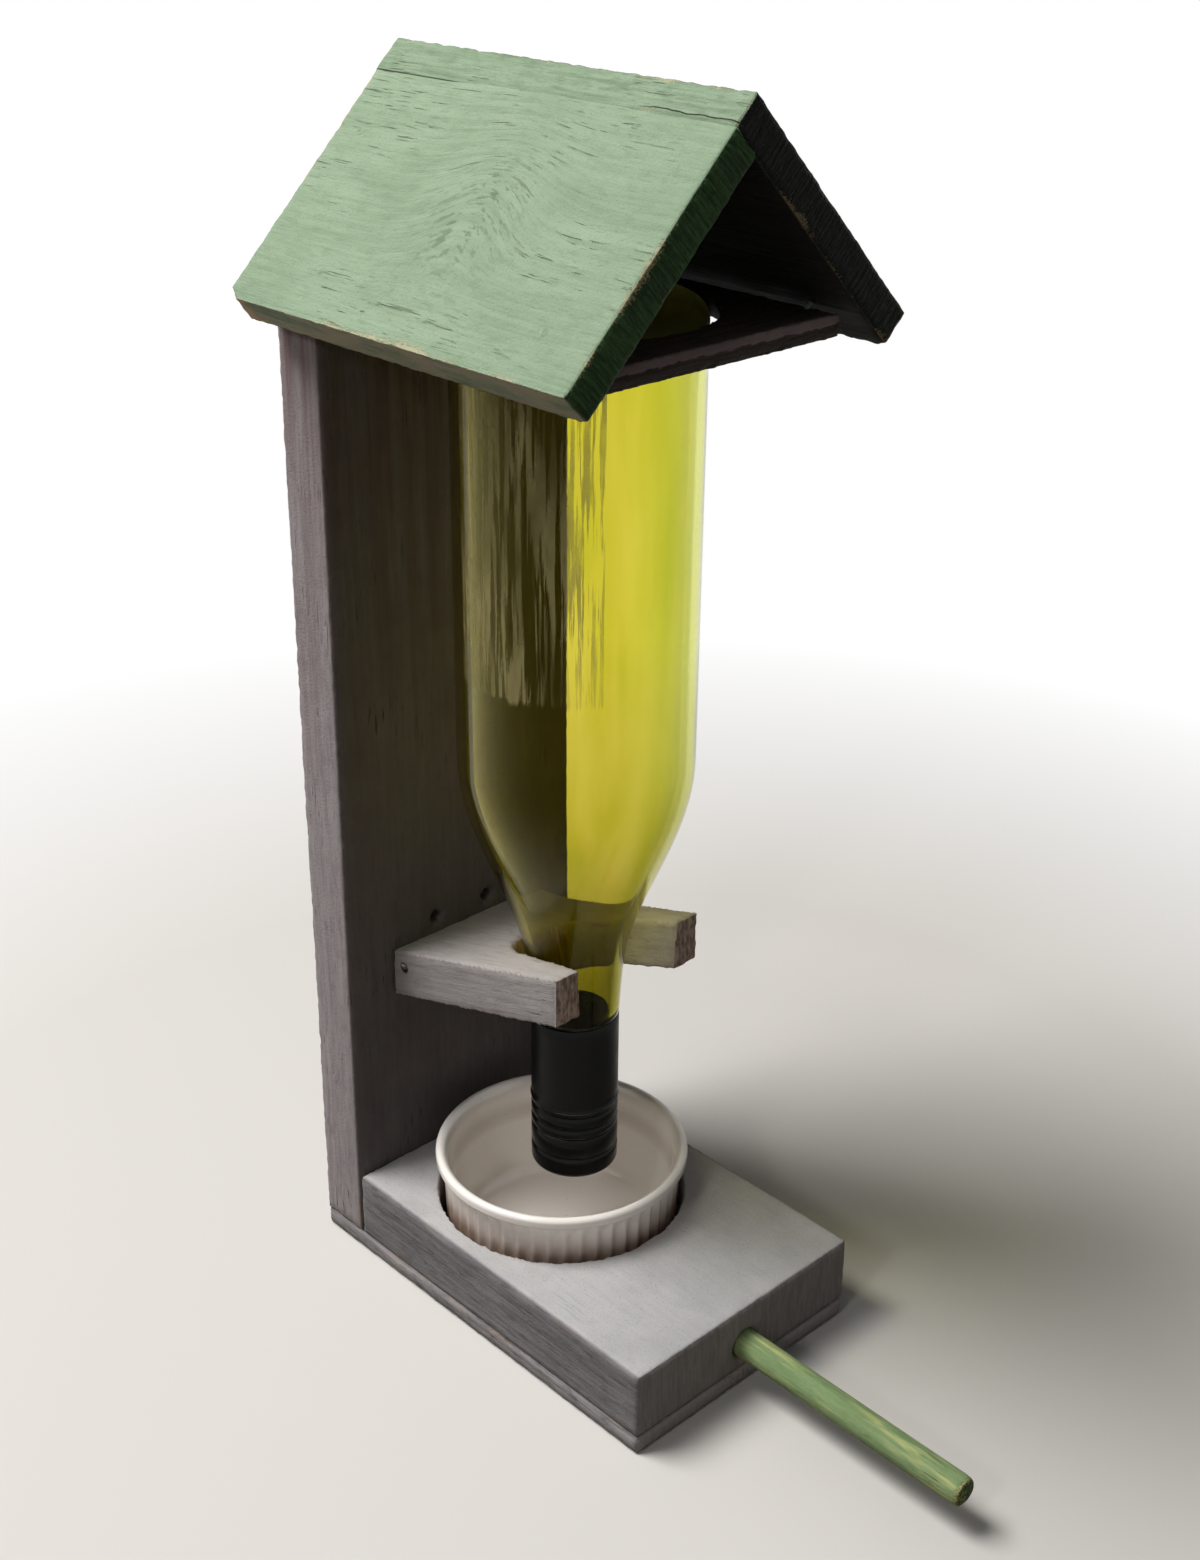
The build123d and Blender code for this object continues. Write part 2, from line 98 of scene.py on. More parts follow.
def bore(piece, centre, radius, length, turn=(0, 0, 0), sides=64):
    """Drill a round hole into a piece."""
    drill = add_shape(
        bpy.ops.mesh.primitive_cylinder_add, vertices=sides, radius=radius, depth=length, location=centre,
        rotation=turn,
    )
    carve(piece, drill)


def sharp_edges(piece, calm, angle=0.5, step=0.8 * MM):
    """Tree of points along a piece's sharp edges, without those that the calm test keeps whole."""
    cage = bmesh.new()
    cage.from_mesh(piece.data)
    points = []
    for edge in cage.edges:
        if edge.is_manifold and edge.calc_face_angle() > angle:
            start, end = (vertex.co.copy() for vertex in edge.verts)
            count = int((end - start).length / step) + 1
            line = [start.lerp(end, index / count) for index in range(count + 1)]
            points += [point for point in line if not calm(point)]
    cage.free()
    tree = kdtree.KDTree(len(points))
    for index, point in enumerate(points):
        tree.insert(point, index)
    tree.balance()
    return tree


def cloud(name, size):
    """Soft noise texture that a displacement reads."""
    texture = bpy.data.textures.new(name, "CLOUDS")
    texture.noise_scale = size
    texture.noise_depth = 3
    return texture


def mark(piece, name, values):
    """Give every point of a piece a number that its material reads."""
    piece.data.attributes.new(name, "FLOAT", "POINT").data.foreach_set("value", values)


NIBBLE_REACH = 2.2 * MM
WORN_REACH = 6 * MM
RIPPLE_WIDTH = 6 * MM
RIPPLE_LENGTH = 90 * MM


def weather(
    piece, ripple, nibble, shift, grain=1, voxel=1.0 * MM, rough=(1.0, 1.0, 1.0), calm=lambda point: False
):
    """Give a sawn board a fine mesh, ripples along its grain and nibbled edges.

    The grain is the axis that it runs along, and the shift moves the ripples so that no two boards match.
    Marks are left for edges, for end grain, and for how rough the faces across each axis are.
    """
    edges = sharp_edges(piece, calm)
    apply_modifier(piece, "REMESH", mode="VOXEL", voxel_size=voxel, adaptivity=0.0)
    distances = [edges.find(vertex.co)[2] for vertex in piece.data.vertices]
    group = piece.vertex_groups.new(name="edges")
    for index, distance in enumerate(distances):
        if distance < NIBBLE_REACH:
            group.add([index], 1 - distance / NIBBLE_REACH, "REPLACE")
    guide = add_shape(bpy.ops.object.empty_add, location=(shift, shift, shift))
    guide.scale = [RIPPLE_LENGTH if axis == grain else RIPPLE_WIDTH for axis in range(3)]
    bpy.context.view_layer.update()
    apply_modifier(
        piece, "DISPLACE", texture=cloud("nibbles", 3 * MM), texture_coords="LOCAL",
        vertex_group="edges", strength=nibble, mid_level=0.95,
    )
    apply_modifier(
        piece, "DISPLACE", texture=cloud("ripples", 1.0), texture_coords="OBJECT",
        texture_coords_object=guide, strength=ripple, mid_level=0.5,
    )
    bpy.data.objects.remove(guide)
    piece.vertex_groups.clear()
    mark(piece, "edge", [max(0.0, 1 - distance / WORN_REACH) for distance in distances])
    normals = [vertex.normal.copy() for vertex in piece.data.vertices]
    mark(piece, "end", [float(abs(normal[grain]) > 0.7) for normal in normals])
    coarse = [sum(abs(normal[axis]) ** 4 * rough[axis] for axis in range(3)) for normal in normals]
    mark(piece, "rough", coarse)
    hold(piece)
    bpy.ops.object.shade_smooth()


def put(tree, kind, feeds=None, **settings):
    """Place a shader node, set it up and feed its inputs from sockets or values."""
    node = tree.nodes.new("ShaderNode" + kind)
    for setting, value in settings.items():
        setattr(node, setting, value)
    for name, value in (feeds or {}).items():
        if isinstance(value, bpy.types.NodeSocket):
            tree.links.new(value, node.inputs[name])
        else:
            node.inputs[name].default_value = value
    return node


def noise(vector, scale, detail=3.0, roughness=0.55, distortion=0.0):
    """Noise value at a scale."""
    feeds = {"Vector": vector, "Scale": scale, "Detail": detail, "Roughness": roughness}
    return put(vector.id_data, "TexNoise", {**feeds, "Distortion": distortion}).outputs[0]


def span(value, low, high, to_low=0.0, to_high=1.0):
    """Stretch the part of a value between two limits to a new range."""
    feeds = {"Value": value, "From Min": low, "From Max": high, "To Min": to_low, "To Max": to_high}
    return put(value.id_data, "MapRange", feeds).outputs[0]


def tree_of(*values):
    """Node tree of the first socket among some values."""
    return next(value.id_data for value in values if isinstance(value, bpy.types.NodeSocket))


def sums(operation, first, second=0.0):
    """One step of arithmetic."""
    return put(tree_of(first, second), "Math", {0: first, 1: second}, operation=operation).outputs[0]


def times(first, second):
    """Product of two values."""
    return sums("MULTIPLY", first, second)


def mixed(factor, first, second, mode="MIX"):
    """Mix of two colours."""
    feeds = {0: factor, 6: first, 7: second}
    return put(tree_of(factor, first, second), "Mix", feeds, data_type="RGBA", blend_type=mode).outputs[2]


def turned(vector, place=(0, 0, 0), turn=(0, 0, 0), scale=(1, 1, 1)):
    """Coordinates moved, turned and stretched."""
    feeds = {"Vector": vector, "Location": place, "Rotation": turn, "Scale": scale}
    return put(vector.id_data, "Mapping", feeds).outputs[0]


def colour(red, green, blue):
    """Colour from its 0 to 255 screen values."""
    screen = [channel / 255 for channel in (red, green, blue)]
    linear = [((value + 0.055) / 1.055) ** 2.4 if value > 0.04045 else value / 12.92 for value in screen]
    return (*linear, 1.0)


# Weathered paint: brushed colour with streaks along Y, fine cracks, worn edges and sawn end grain.
paint = bpy.data.node_groups.new("weathered_paint", "ShaderNodeTree")
sockets = [("Vector", "Vector", "INPUT")]
sockets += [(socket, "Float", "INPUT") for socket in ("Edge", "End", "Rough", "Wear", "Checks", "Sawn")]
sockets += [(socket, "Color", "INPUT") for socket in ("Paint", "Shade", "Pale", "Wood", "End Grain")]
sockets += [("Color", "Color", "OUTPUT"), ("Roughness", "Float", "OUTPUT"), ("Height", "Float", "OUTPUT")]
for socket, kind, way in sockets:
    paint.interface.new_socket(socket, in_out=way, socket_type="NodeSocket" + kind)
given = paint.nodes.new("NodeGroupInput").outputs
made = paint.nodes.new("NodeGroupOutput").inputs
along = turned(given["Vector"], scale=(1, 0.05, 1))
streaks = noise(along, 620.0, 5.0, 0.65)
bands = noise(along, 130.0, 3.0, 0.55)
blotches = noise(given["Vector"], 42.0, 4.0)
grit = noise(given["Vector"], 1400.0, 2.0)
short_grain = turned(given["Vector"], scale=(1, 0.06, 1))
cracks = span(noise(short_grain, 1300.0, 2.0, 0.5, 0.3), 0.63, 0.7)
cracks = times(cracks, span(blotches, 0.5, 0.62))
cracks = times(cracks, given["Checks"])
across = turned(given["Vector"], scale=(1, 1, 0.12))
saw_marks = noise(across, 900.0, 3.0, 0.6)
streak_share = times(span(streaks, 0.42, 0.72, 0.0, 0.8), given["Rough"])
tone = mixed(streak_share, given["Paint"], given["Shade"])
band_share = times(span(bands, 0.48, 0.75, 0.0, 0.6), given["Rough"])
tone = mixed(band_share, tone, given["Pale"])
tone = mixed(span(blotches, 0.32, 0.6, 0.22, 0.0), tone, given["Shade"])
tone = mixed(span(grit, 0.58, 0.72, 0.0, 0.3), tone, given["Shade"])
brushwork = noise(turned(given["Vector"], scale=(1, 0.3, 1)), 420.0, 4.0, 0.65)
brush_share = times(span(brushwork, 0.5, 0.72, 0.0, 0.8), given["Rough"])
tone = mixed(brush_share, tone, given["Shade"])
dark_end = mixed(1.0, given["End Grain"], (0.35, 0.34, 0.33, 1.0), "MULTIPLY")
end_share = times(span(saw_marks, 0.64, 0.36), given["Sawn"])
end_tone = mixed(end_share, given["End Grain"], dark_end)
tone = mixed(given["End"], tone, end_tone)
deep = mixed(1.0, given["Shade"], (0.26, 0.25, 0.22, 1.0), "MULTIPLY")
tone = mixed(cracks, tone, deep)
worn = sums("ADD", given["Edge"], span(blotches, 0.3, 0.7, -0.5, 0.35))
worn = sums("ADD", worn, span(grit, 0.3, 0.7, -0.2, 0.2))
worn = times(span(worn, 0.9, 1.02), given["Wear"])
tone = mixed(worn, tone, given["Wood"])
paint.links.new(tone, made["Color"])
paint.links.new(span(streaks, 0.3, 0.7, 0.55, 0.8), made["Roughness"])
side_height = times(streaks, sums("ADD", given["Rough"], 0.15))
side_height = sums("ADD", side_height, times(grit, 0.35))
end_height = times(times(saw_marks, 2.2), given["Sawn"])
end_height = sums("ADD", end_height, times(grit, 0.6))
height = put(paint, "Mix", {0: given["End"], 2: side_height, 3: end_height}).outputs[0]
height = sums("SUBTRACT", height, times(cracks, 1.6))
height = sums("SUBTRACT", height, times(worn, 0.5))
paint.links.new(height, made["Height"])


def new_material(name, constants=None):
    """New material, its shader with the sockets that stay constant set, and object coordinates."""
    material = bpy.data.materials.new(name)
    material.use_nodes = True
    shader = material.node_tree.nodes["Principled BSDF"]
    for socket, value in (constants or {}).items():
        shader.inputs[socket].default_value = value
    return material, shader, put(material.node_tree, "TexCoord").outputs["Object"]


def surface(shader, tone, gloss, height=None, strength=0.0, relief=0.0):
    """Give a shader its colour, its roughness and, from a height, its relief."""
    tree = shader.id_data
    tree.links.new(tone, shader.inputs["Base Color"])
    tree.links.new(gloss, shader.inputs["Roughness"])
    if height is not None:
        bump = put(tree, "Bump", {"Height": height, "Strength": strength, "Distance": relief})
        tree.links.new(bump.outputs["Normal"], shader.inputs["Normal"])


def painted_wood(name, turn, tones, wear, checks, sawn, relief, bend=None, cover=None):
    """Weathered paint on a board; turn brings the board's grain to the pattern's Y.

    The tones are paint, shade, pale streaks, bare wood and end grain. A bend may warp the pattern's
    coordinates, and a cover may lay another colour over the paint.
    """
    material, shader, coordinates = new_material(name, {"Specular IOR Level": 0.06})
    tree = material.node_tree
    group = put(tree, "Group", node_tree=paint)
    pattern = turned(coordinates, turn=turn)
    if bend:
        pattern = bend(pattern)
    tree.links.new(pattern, group.inputs["Vector"])
    for socket in ("Edge", "End", "Rough"):
        attribute = put(tree, "Attribute", attribute_name=socket.lower())
        tree.links.new(attribute.outputs["Fac"], group.inputs[socket])
    for socket, tone in zip(("Paint", "Shade", "Pale", "Wood", "End Grain"), tones):
        group.inputs[socket].default_value = colour(*tone)
    for socket, share in (("Wear", wear), ("Checks", checks), ("Sawn", sawn)):
        group.inputs[socket].default_value = share
    tone = group.outputs["Color"]
    if cover:
        tone = cover(coordinates, pattern, tone)
    surface(shader, tone, group.outputs["Roughness"], group.outputs["Height"], 0.8, relief)
    return material


def dress(piece, material, body, slot, *nodes):
    """Give a piece its material and body, and hide the CAD nodes that it stands for; its record slot is not
    used.
    """
    piece.data.materials.clear()
    piece.data.materials.append(material)
    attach(piece, body)
    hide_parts(*nodes)


GRAIN_Y = (0, 0, 0)
BARE_WOOD = (196, 172, 140)
plate_low, plate_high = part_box("base_plate")
plate = add_board("bottom_plate", plate_low, plate_high)
weather(plate, ripple=0.25 * MM, nibble=1.2 * MM, shift=0.31)
plate_tones = ((164, 160, 160), (92, 87, 85), (176, 172, 172), BARE_WOOD, (180, 175, 172))
plate_paint = painted_wood(
    "plate_paint", GRAIN_Y, plate_tones, wear=0.3, checks=0.8, sawn=0.2, relief=0.5 * MM
)
HEAD_GAP = 0.25 * MM
SCREW_RECESS = 3.5 * MM + HEAD_GAP
SCREW_SINK = 1.6 * MM
plate_heads = [(39.5 * MM, -70.75 * MM), (28.5 * MM, 49.75 * MM), (28.5 * MM, 71.25 * MM)]
for side in (-1, 1):
    for x, y in plate_heads:
        bore(plate, (side * x, y, 0), SCREW_RECESS, SCREW_SINK, sides=32)
dress(plate, plate_paint, "stand", "grey_plywood", "base_plate")


# Base block: a thick softwood board planed smooth, with a round hole sawn through it for the ramekin
# and a drilled socket in its front edge for the perch. Brushed with grey paint, ragged along the edges.
block_low, block_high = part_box("base_block")
dish_low, dish_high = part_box("ramekin")
dish_centre = (dish_low + dish_high) / 2
perch_low, perch_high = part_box("perch")
perch_centre = (perch_low + perch_high) / 2
RAMEKIN_HOLE = 43.7 * MM
THROUGH = 100 * MM
PERCH_RADIUS = 5 * MM
SOCKET_RADIUS = PERCH_RADIUS + 0.35 * MM
SOCKET_LENGTH = 44 * MM
ACROSS = (radians(90), 0, 0)
block = add_board("base_board", block_low, block_high)
bore(block, (0, dish_centre.y, dish_centre.z), RAMEKIN_HOLE, THROUGH, sides=128)
bore(block, (0, block_low.y, perch_centre.z), SOCKET_RADIUS, SOCKET_LENGTH, ACROSS)
weather(block, ripple=0.2 * MM, nibble=0.8 * MM, shift=0.17, rough=(0.7, 0.8, 0.08))


def axes(vector):
    """The X, Y and Z of a vector."""
    return put(vector.id_data, "SeparateXYZ", {0: vector}).outputs


# Painted shade for the block's long sides.
SIDE_SHADE = (0.56, 0.55, 0.57, 1.0)


def shaded_sides(coordinates, pattern, tone):
    """Painted shade that darkens the block's long sides."""
    outward = sums("ABSOLUTE", axes(coordinates)[0])
    side = span(outward, block_high.x - 1.5 * MM, block_high.x - 0.6 * MM)
    return mixed(side, tone, mixed(1.0, tone, SIDE_SHADE, "MULTIPLY"))


block_tones = ((188, 186, 185), (98, 93, 93), (120, 117, 116), BARE_WOOD, (164, 159, 157))
block_paint = painted_wood(
    "block_paint", GRAIN_Y, block_tones, wear=0.15, checks=0.12, sawn=0.35, relief=0.45 * MM, cover=shaded_sides
)
dress(block, block_paint, "stand", "grey_timber", "base_block")


# Backboard: a tall board standing on the plate behind the block, cut to a gable under the roof.
# Two hanging holes go through it just above the holder, and screws and nails are driven in from behind.
back_low, back_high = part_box("backboard")
HANG_HOLE = 2.3 * MM
HANG_HEIGHT = 123.9 * MM
HANG_X = 11.8 * MM


def edit(piece, *steps):
    """Run mesh operators, each a name with its settings, on the whole of a piece."""
    hold(piece)
    bpy.ops.object.mode_set(mode="EDIT")
    for operator, settings in steps:
        bpy.ops.mesh.select_all(action="SELECT")
        getattr(bpy.ops.mesh, operator)(**settings)
    bpy.ops.object.mode_set(mode="OBJECT")


def cut_off(piece, place, facing):
    """Saw off what lies beyond a plane and close the cut."""
    settings = {"plane_co": place, "plane_no": facing, "use_fill": True, "clear_outer": True}
    edit(piece, ("bisect", settings))


backboard = add_board("backboard_wood", back_low, back_high)
for side in (-1, 1):
    cut_off(backboard, (0, 0, back_high.z), (side, 0, 1))
for side in (-1, 1):
    bore(backboard, (side * HANG_X, back_low.y, HANG_HEIGHT), HANG_HOLE, THROUGH, ACROSS, 32)
weather(
    backboard, ripple=0.3 * MM, nibble=1.1 * MM, shift=0.53, grain=2, voxel=1.4 * MM, rough=(0.6, 0.25, 0.5)
)
# Painted shade laid over the paint behind the bottle and in the hanging holes.
FRONT_SHADE = (0.34, 0.33, 0.32, 1.0)
STAIN_LOW = 170 * MM
STAIN_HIGH = 360 * MM


def shaded_front_and_stain(coordinates, pattern, tone):
    """Painted shade on the face behind the bottle and in the hanging holes, and purple-brown stain that shows
    through towards the top.
    """
    sideways, depth, height = axes(coordinates)
    # Painted shade: the front face is darkened, and so is everything more than 3 mm in from the back in a
    # strip down the middle, such as the hanging holes.
    front = span(depth, back_low.y + 2 * MM, back_low.y + 0.8 * MM)
    middle = span(sums("ABSOLUTE", sideways), HANG_X + 4 * MM, HANG_X + 3 * MM)
    shaded_holes = times(middle, span(depth, back_high.y - 1 * MM, back_high.y - 3 * MM))
    front = sums("MAXIMUM", front, shaded_holes)
    stain = noise(turned(pattern, scale=(1, 0.04, 1)), 210.0, 4.0, 0.6)
    share = times(span(height, STAIN_LOW, STAIN_HIGH, 0.1, 1.0), span(stain, 0.38, 0.62))
    tone = mixed(share, tone, colour(132, 112, 112))
    return mixed(front, tone, mixed(1.0, tone, FRONT_SHADE, "MULTIPLY"))


GRAIN_Z = (radians(90), 0, 0)
BRAD_RECESS = 1.3 * MM + HEAD_GAP
BRAD_SINK = 1.2 * MM
backboard_tones = ((172, 165, 165), (120, 110, 111), (186, 178, 179), BARE_WOOD, (150, 142, 140))
backboard_paint = painted_wood(
    "backboard_paint", GRAIN_Z, backboard_tones, wear=0.2, checks=0.7, sawn=0.6, relief=0.6 * MM,
    cover=shaded_front_and_stain,
)
back_screws = [(39.5 * MM, 19.5 * MM), (16 * MM, 107.1 * MM)]
BRAD_X = 33 * MM
BRAD_HEIGHT = 344.5 * MM
for side in (-1, 1):
    for x, z in back_screws:
        bore(backboard, (side * x, back_high.y, z), SCREW_RECESS, SCREW_SINK, ACROSS, 32)
    bore(backboard, (side * BRAD_X, back_high.y, BRAD_HEIGHT), BRAD_RECESS, BRAD_SINK, ACROSS, 24)
dress(backboard, backboard_paint, "stand", "grey_timber", "backboard")


# Ramekin: white glazed stoneware dish, fluted round its side below a plain rolled rim.
# It stands loose on the plate inside the block's hole and catches the seed.
def add_object(name, data):
    """Put a named object with its data into the scene."""
    added = bpy.data.objects.new(name, data)
    bpy.context.scene.collection.objects.link(added)
    return added


def add_mesh(name, points, edges=(), faces=()):
    """Start a piece from points and the edges or faces between them."""
    mesh = bpy.data.meshes.new(name)
    mesh.from_pydata(points, edges, faces)
    return add_object(name, mesh)


OUTWARDS = ("normals_make_consistent", {"inside": False})


def spin_profile(name, points, centre, steps):
    """Turn a profile of radius and height points into a closed round piece about an upright axis."""
    piece = add_mesh(
        name,
        [(centre.x + radius, centre.y, height) for radius, height in points],
        [(index, index + 1) for index in range(len(points) - 1)],
    )
    turning = {"steps": steps, "angle": 2 * pi, "center": (centre.x, centre.y, 0), "axis": (0, 0, 1)}
    merging = {"threshold": 0.005 * MM}
    edit(piece, ("spin", turning), ("remove_doubles", merging), OUTWARDS)
    bpy.ops.object.shade_smooth()
    return piece


def straight(start, end, count):
    """Points evenly along a straight line, without its end."""
    return [tuple(a + (b - a) * index / count for a, b in zip(start, end)) for index in range(count)]


def rounded(centre, radius, first, last, count):
    """Points along an arc between two angles in degrees, without its end."""
    angles = [radians(first + (last - first) * index / count) for index in range(count)]
    return [(centre[0] + radius * cos(angle), centre[1] + radius * sin(angle)) for angle in angles]


FLUTES = 48
FLUTE_DEPTH = 1.0 * MM
dish_base = dish_low.z
rim_top = dish_high.z
rim_radius = (dish_high.x - dish_low.x) / 2
rim_height = 4.6 * MM
body_radius = 42 * MM
foot_radius = 40.6 * MM
dish_wall = 3.8 * MM
dish_floor = dish_base + 5 * MM
lip = 1.6 * MM
LIP_REACH = 3.2 * MM
LIP_DROP = 7 * MM
inner_rim = rim_radius - lip - LIP_REACH
inner_foot = foot_radius - dish_wall
corner = 6 * MM
body_top = rim_top - rim_height - lip
rim_low = rim_top - rim_height + 1.6 * MM
RIM_ROUND = 1.1 * MM
FOOT_ROUND = 1.2 * MM
hollow = dish_base + 0.6 * MM
ring_inside = foot_radius - 6 * MM
ring_edge = foot_radius - 4.6 * MM
inner_side = inner_foot + 0.4 * MM
profile = straight((0, hollow), (ring_inside, hollow), 6)
profile += straight((ring_inside, hollow), (ring_edge, dish_base), 2)
profile += straight((ring_edge, dish_base), (foot_radius - FOOT_ROUND, dish_base), 3)
profile += rounded((foot_radius - FOOT_ROUND, dish_base + FOOT_ROUND), FOOT_ROUND, -90, 0, 5)
profile += straight((foot_radius, dish_base + FOOT_ROUND), (body_radius, body_top), 18)
profile += rounded((rim_radius, body_top), rim_radius - body_radius, 180, 125, 5)
profile += rounded((rim_radius - RIM_ROUND, rim_low), RIM_ROUND, -75, 0, 5)
profile += straight((rim_radius, rim_low), (rim_radius, rim_top - lip), 3)
profile += rounded((rim_radius - lip, rim_top - lip), lip, 0, 90, 8)
profile += [
    (
        rim_radius - lip - LIP_REACH * sin(pi / 2 * index / 14),
        rim_top - LIP_DROP * (1 - cos(pi / 2 * index / 14)),
    )
    for index in range(14)
]
profile += straight((inner_rim, rim_top - LIP_DROP), (inner_side, dish_floor + corner), 12)
profile += rounded((inner_side - corner, dish_floor + corner), corner, 0, -90, 10)
profile += straight((inner_side - corner, dish_floor), (0, dish_floor), 8)
profile += [(0, dish_floor)]
dish = spin_profile("ramekin_dish", profile, dish_centre, FLUTES * 10)
flute_top = body_top + 0.6 * MM
FLUTE_SKIN = 1.3 * MM
for vertex in dish.data.vertices:
    flat = vertex.co - Vector((dish_centre.x, dish_centre.y, vertex.co.z))
    rise = vertex.co.z - dish_base
    side_radius = foot_radius + (body_radius - foot_radius) * (rise - FOOT_ROUND) / (body_top - dish_base)
    if 0.4 * MM < rise < flute_top - dish_base and flat.length > side_radius - FLUTE_SKIN:
        swell = 0.5 + 0.5 * cos(FLUTES * atan2(flat.y, flat.x))
        fade = min(1.0, (flute_top - vertex.co.z) / (2.4 * MM), rise / (1.6 * MM))
        vertex.co -= flat.normalized() * FLUTE_DEPTH * swell ** 0.7 * max(0.0, fade)


def length_of(vector):
    """Length of a vector."""
    return put(vector.id_data, "VectorMath", {0: vector}, operation="LENGTH").outputs["Value"]


glaze, shader, coordinates = new_material("white_glaze", {"Specular IOR Level": 0.7})
drift = noise(coordinates, 60.0, 3.0)
height = axes(coordinates)[2]
flat = turned(coordinates, place=(-dish_centre.x, -dish_centre.y, 0), scale=(1, 1, 0))
reach = length_of(flat)
# Painted shade: the outside of the dish turns brown below its rim, down in the block's hole.
shade_in_hole = span(height, rim_top - 6.5 * MM, block_high.z - 2 * MM)
shade_in_hole = times(shade_in_hole, span(reach, inner_foot + 2 * MM, inner_foot + 2.6 * MM))
shade_in_hole = times(shade_in_hole, span(drift, 0.3, 0.7, 0.7, 1.0))
glaze_tone = mixed(shade_in_hole, colour(253, 246, 237), colour(158, 128, 108))
specks = span(noise(coordinates, 900.0, 1.0), 0.74, 0.78, 0.0, 0.35)
glaze_tone = mixed(specks, glaze_tone, colour(150, 132, 118))
surface(shader, glaze_tone, span(drift, 0.3, 0.7, 0.1, 0.2), drift, 0.25, 0.6 * MM)
dress(dish, glaze, "dish", "white_glaze", "ramekin")


# Perch: a softwood dowel pushed into the socket in the block's front edge.
# Its tip is chamfered by hand, and its green paint has rubbed through to streaks of bare wood.
TIP_CHAMFER = 1.4 * MM
perch = add_shape(
    bpy.ops.mesh.primitive_cylinder_add, vertices=48, radius=PERCH_RADIUS, depth=perch_high.y - perch_low.y,
    location=perch_centre, rotation=ACROSS, end_fill_type="NGON",
)
perch.name = "perch_dowel"
settle(perch)
for part in (*perch.data.vertices, *perch.data.polygons):
    part.select = False
for edge in perch.data.edges:
    ends = [perch.data.vertices[index].co.y for index in edge.vertices]
    edge.select = max(ends) < perch_low.y + 0.1 * MM
bpy.context.tool_settings.mesh_select_mode = (False, True, False)
bpy.ops.object.mode_set(mode="EDIT")
bpy.ops.mesh.bevel(offset=TIP_CHAMFER, segments=3, profile=0.5, affect="EDGES")
bpy.ops.object.mode_set(mode="OBJECT")
weather(perch, ripple=0.2 * MM, nibble=0.5 * MM, shift=0.71, voxel=0.6 * MM)


def rubbed_streaks(coordinates, pattern, tone):
    """Long rubbed streaks where the dowel's bare wood shows through."""
    rub = noise(turned(pattern, scale=(1, 0.06, 1)), 620.0, 4.0, 0.6)
    patch = noise(turned(pattern, scale=(1, 0.3, 1)), 130.0, 2.0)
    share = times(span(rub, 0.47, 0.64), span(patch, 0.36, 0.6))
    return mixed(times(share, 0.9), tone, colour(204, 200, 132))


dowel_tones = ((136, 157, 112), (104, 130, 85), (160, 175, 126), (196, 190, 130), (84, 104, 64))
dowel_paint = painted_wood(
    "dowel_paint", GRAIN_Y, dowel_tones, wear=0.8, checks=0.3, sawn=0.8, relief=0.5 * MM, cover=rubbed_streaks
)
dress(perch, dowel_paint, "stand", "green_dowel", "perch")


# Holder: a short board nailed and screwed to the backboard so that it rises towards the front.
# Its open slot takes the bottle's neck, and it is brushed grey with rough brown end grain in front.
holder_low, holder_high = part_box("neck_holder")
bottle_low, bottle_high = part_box("bottle")
bottle_centre = (bottle_low + bottle_high) / 2
TILT = radians(17)
HOLDER_DROP = 17.4 * MM / cos(TILT)
holder_reach = holder_high.y - holder_low.y
holder_back_top = holder_high.z - holder_reach * tan(TILT)
SEAT_HEIGHT = 136.8 * MM
SEAT_RADIUS = 17.8 * MM
SLOT_GAP = 0.45 * MM
SLOT_FLARE = 0.14
SLOT_SETBACK = 5.5 * MM
holder = add_board(
    "holder_board",
    (holder_low.x, holder_low.y, holder_back_top - HOLDER_DROP),
    (holder_high.x, holder_high.y, holder_back_top),
)
for vertex in holder.data.vertices:
    vertex.co.z += (holder_high.y - vertex.co.y) * tan(TILT)
slot_end = SEAT_RADIUS + SLOT_GAP - SLOT_FLARE * SLOT_SETBACK
slot_front = -(bottle_centre.y - holder_low.y) / cos(TILT) - 20 * MM
slot_mouth = SEAT_RADIUS + SLOT_GAP - SLOT_FLARE * slot_front
outline = [(slot_mouth, slot_front)]
outline += [
    (slot_end * cos(pi * index / 40), SLOT_SETBACK + slot_end * sin(pi * index / 40)) for index in range(41)
]
outline += [(-slot_mouth, slot_front)]
CUTTER_REACH = 40 * MM
cutter = add_mesh("slot_cutter", [(x, y, -CUTTER_REACH) for x, y in outline], faces=[range(len(outline))])
raising = {"TRANSFORM_OT_translate": {"value": (0, 0, 2 * CUTTER_REACH)}}
edit(cutter, ("extrude_region_move", raising), OUTWARDS)
cutter.location = (0, bottle_centre.y, SEAT_HEIGHT)
cutter.rotation_euler = (-TILT, 0, 0)
bpy.context.view_layer.update()
carve(holder, cutter)
weather(holder, ripple=0.2 * MM, nibble=1.0 * MM, shift=0.29, voxel=0.8 * MM, rough=(0.5, 0.5, 0.35))
PIT_RADIUS = 1.35 * MM
PIT_LENGTH = 16 * MM
pit_place = Vector((31.35, 54.85, 114.41)) * MM
for side in (-1, 1):
    pit = (side * pit_place.x, pit_place.y, pit_place.z)
    bore(holder, pit, PIT_RADIUS, PIT_LENGTH, (radians(90), 0, side * radians(45)), 24)


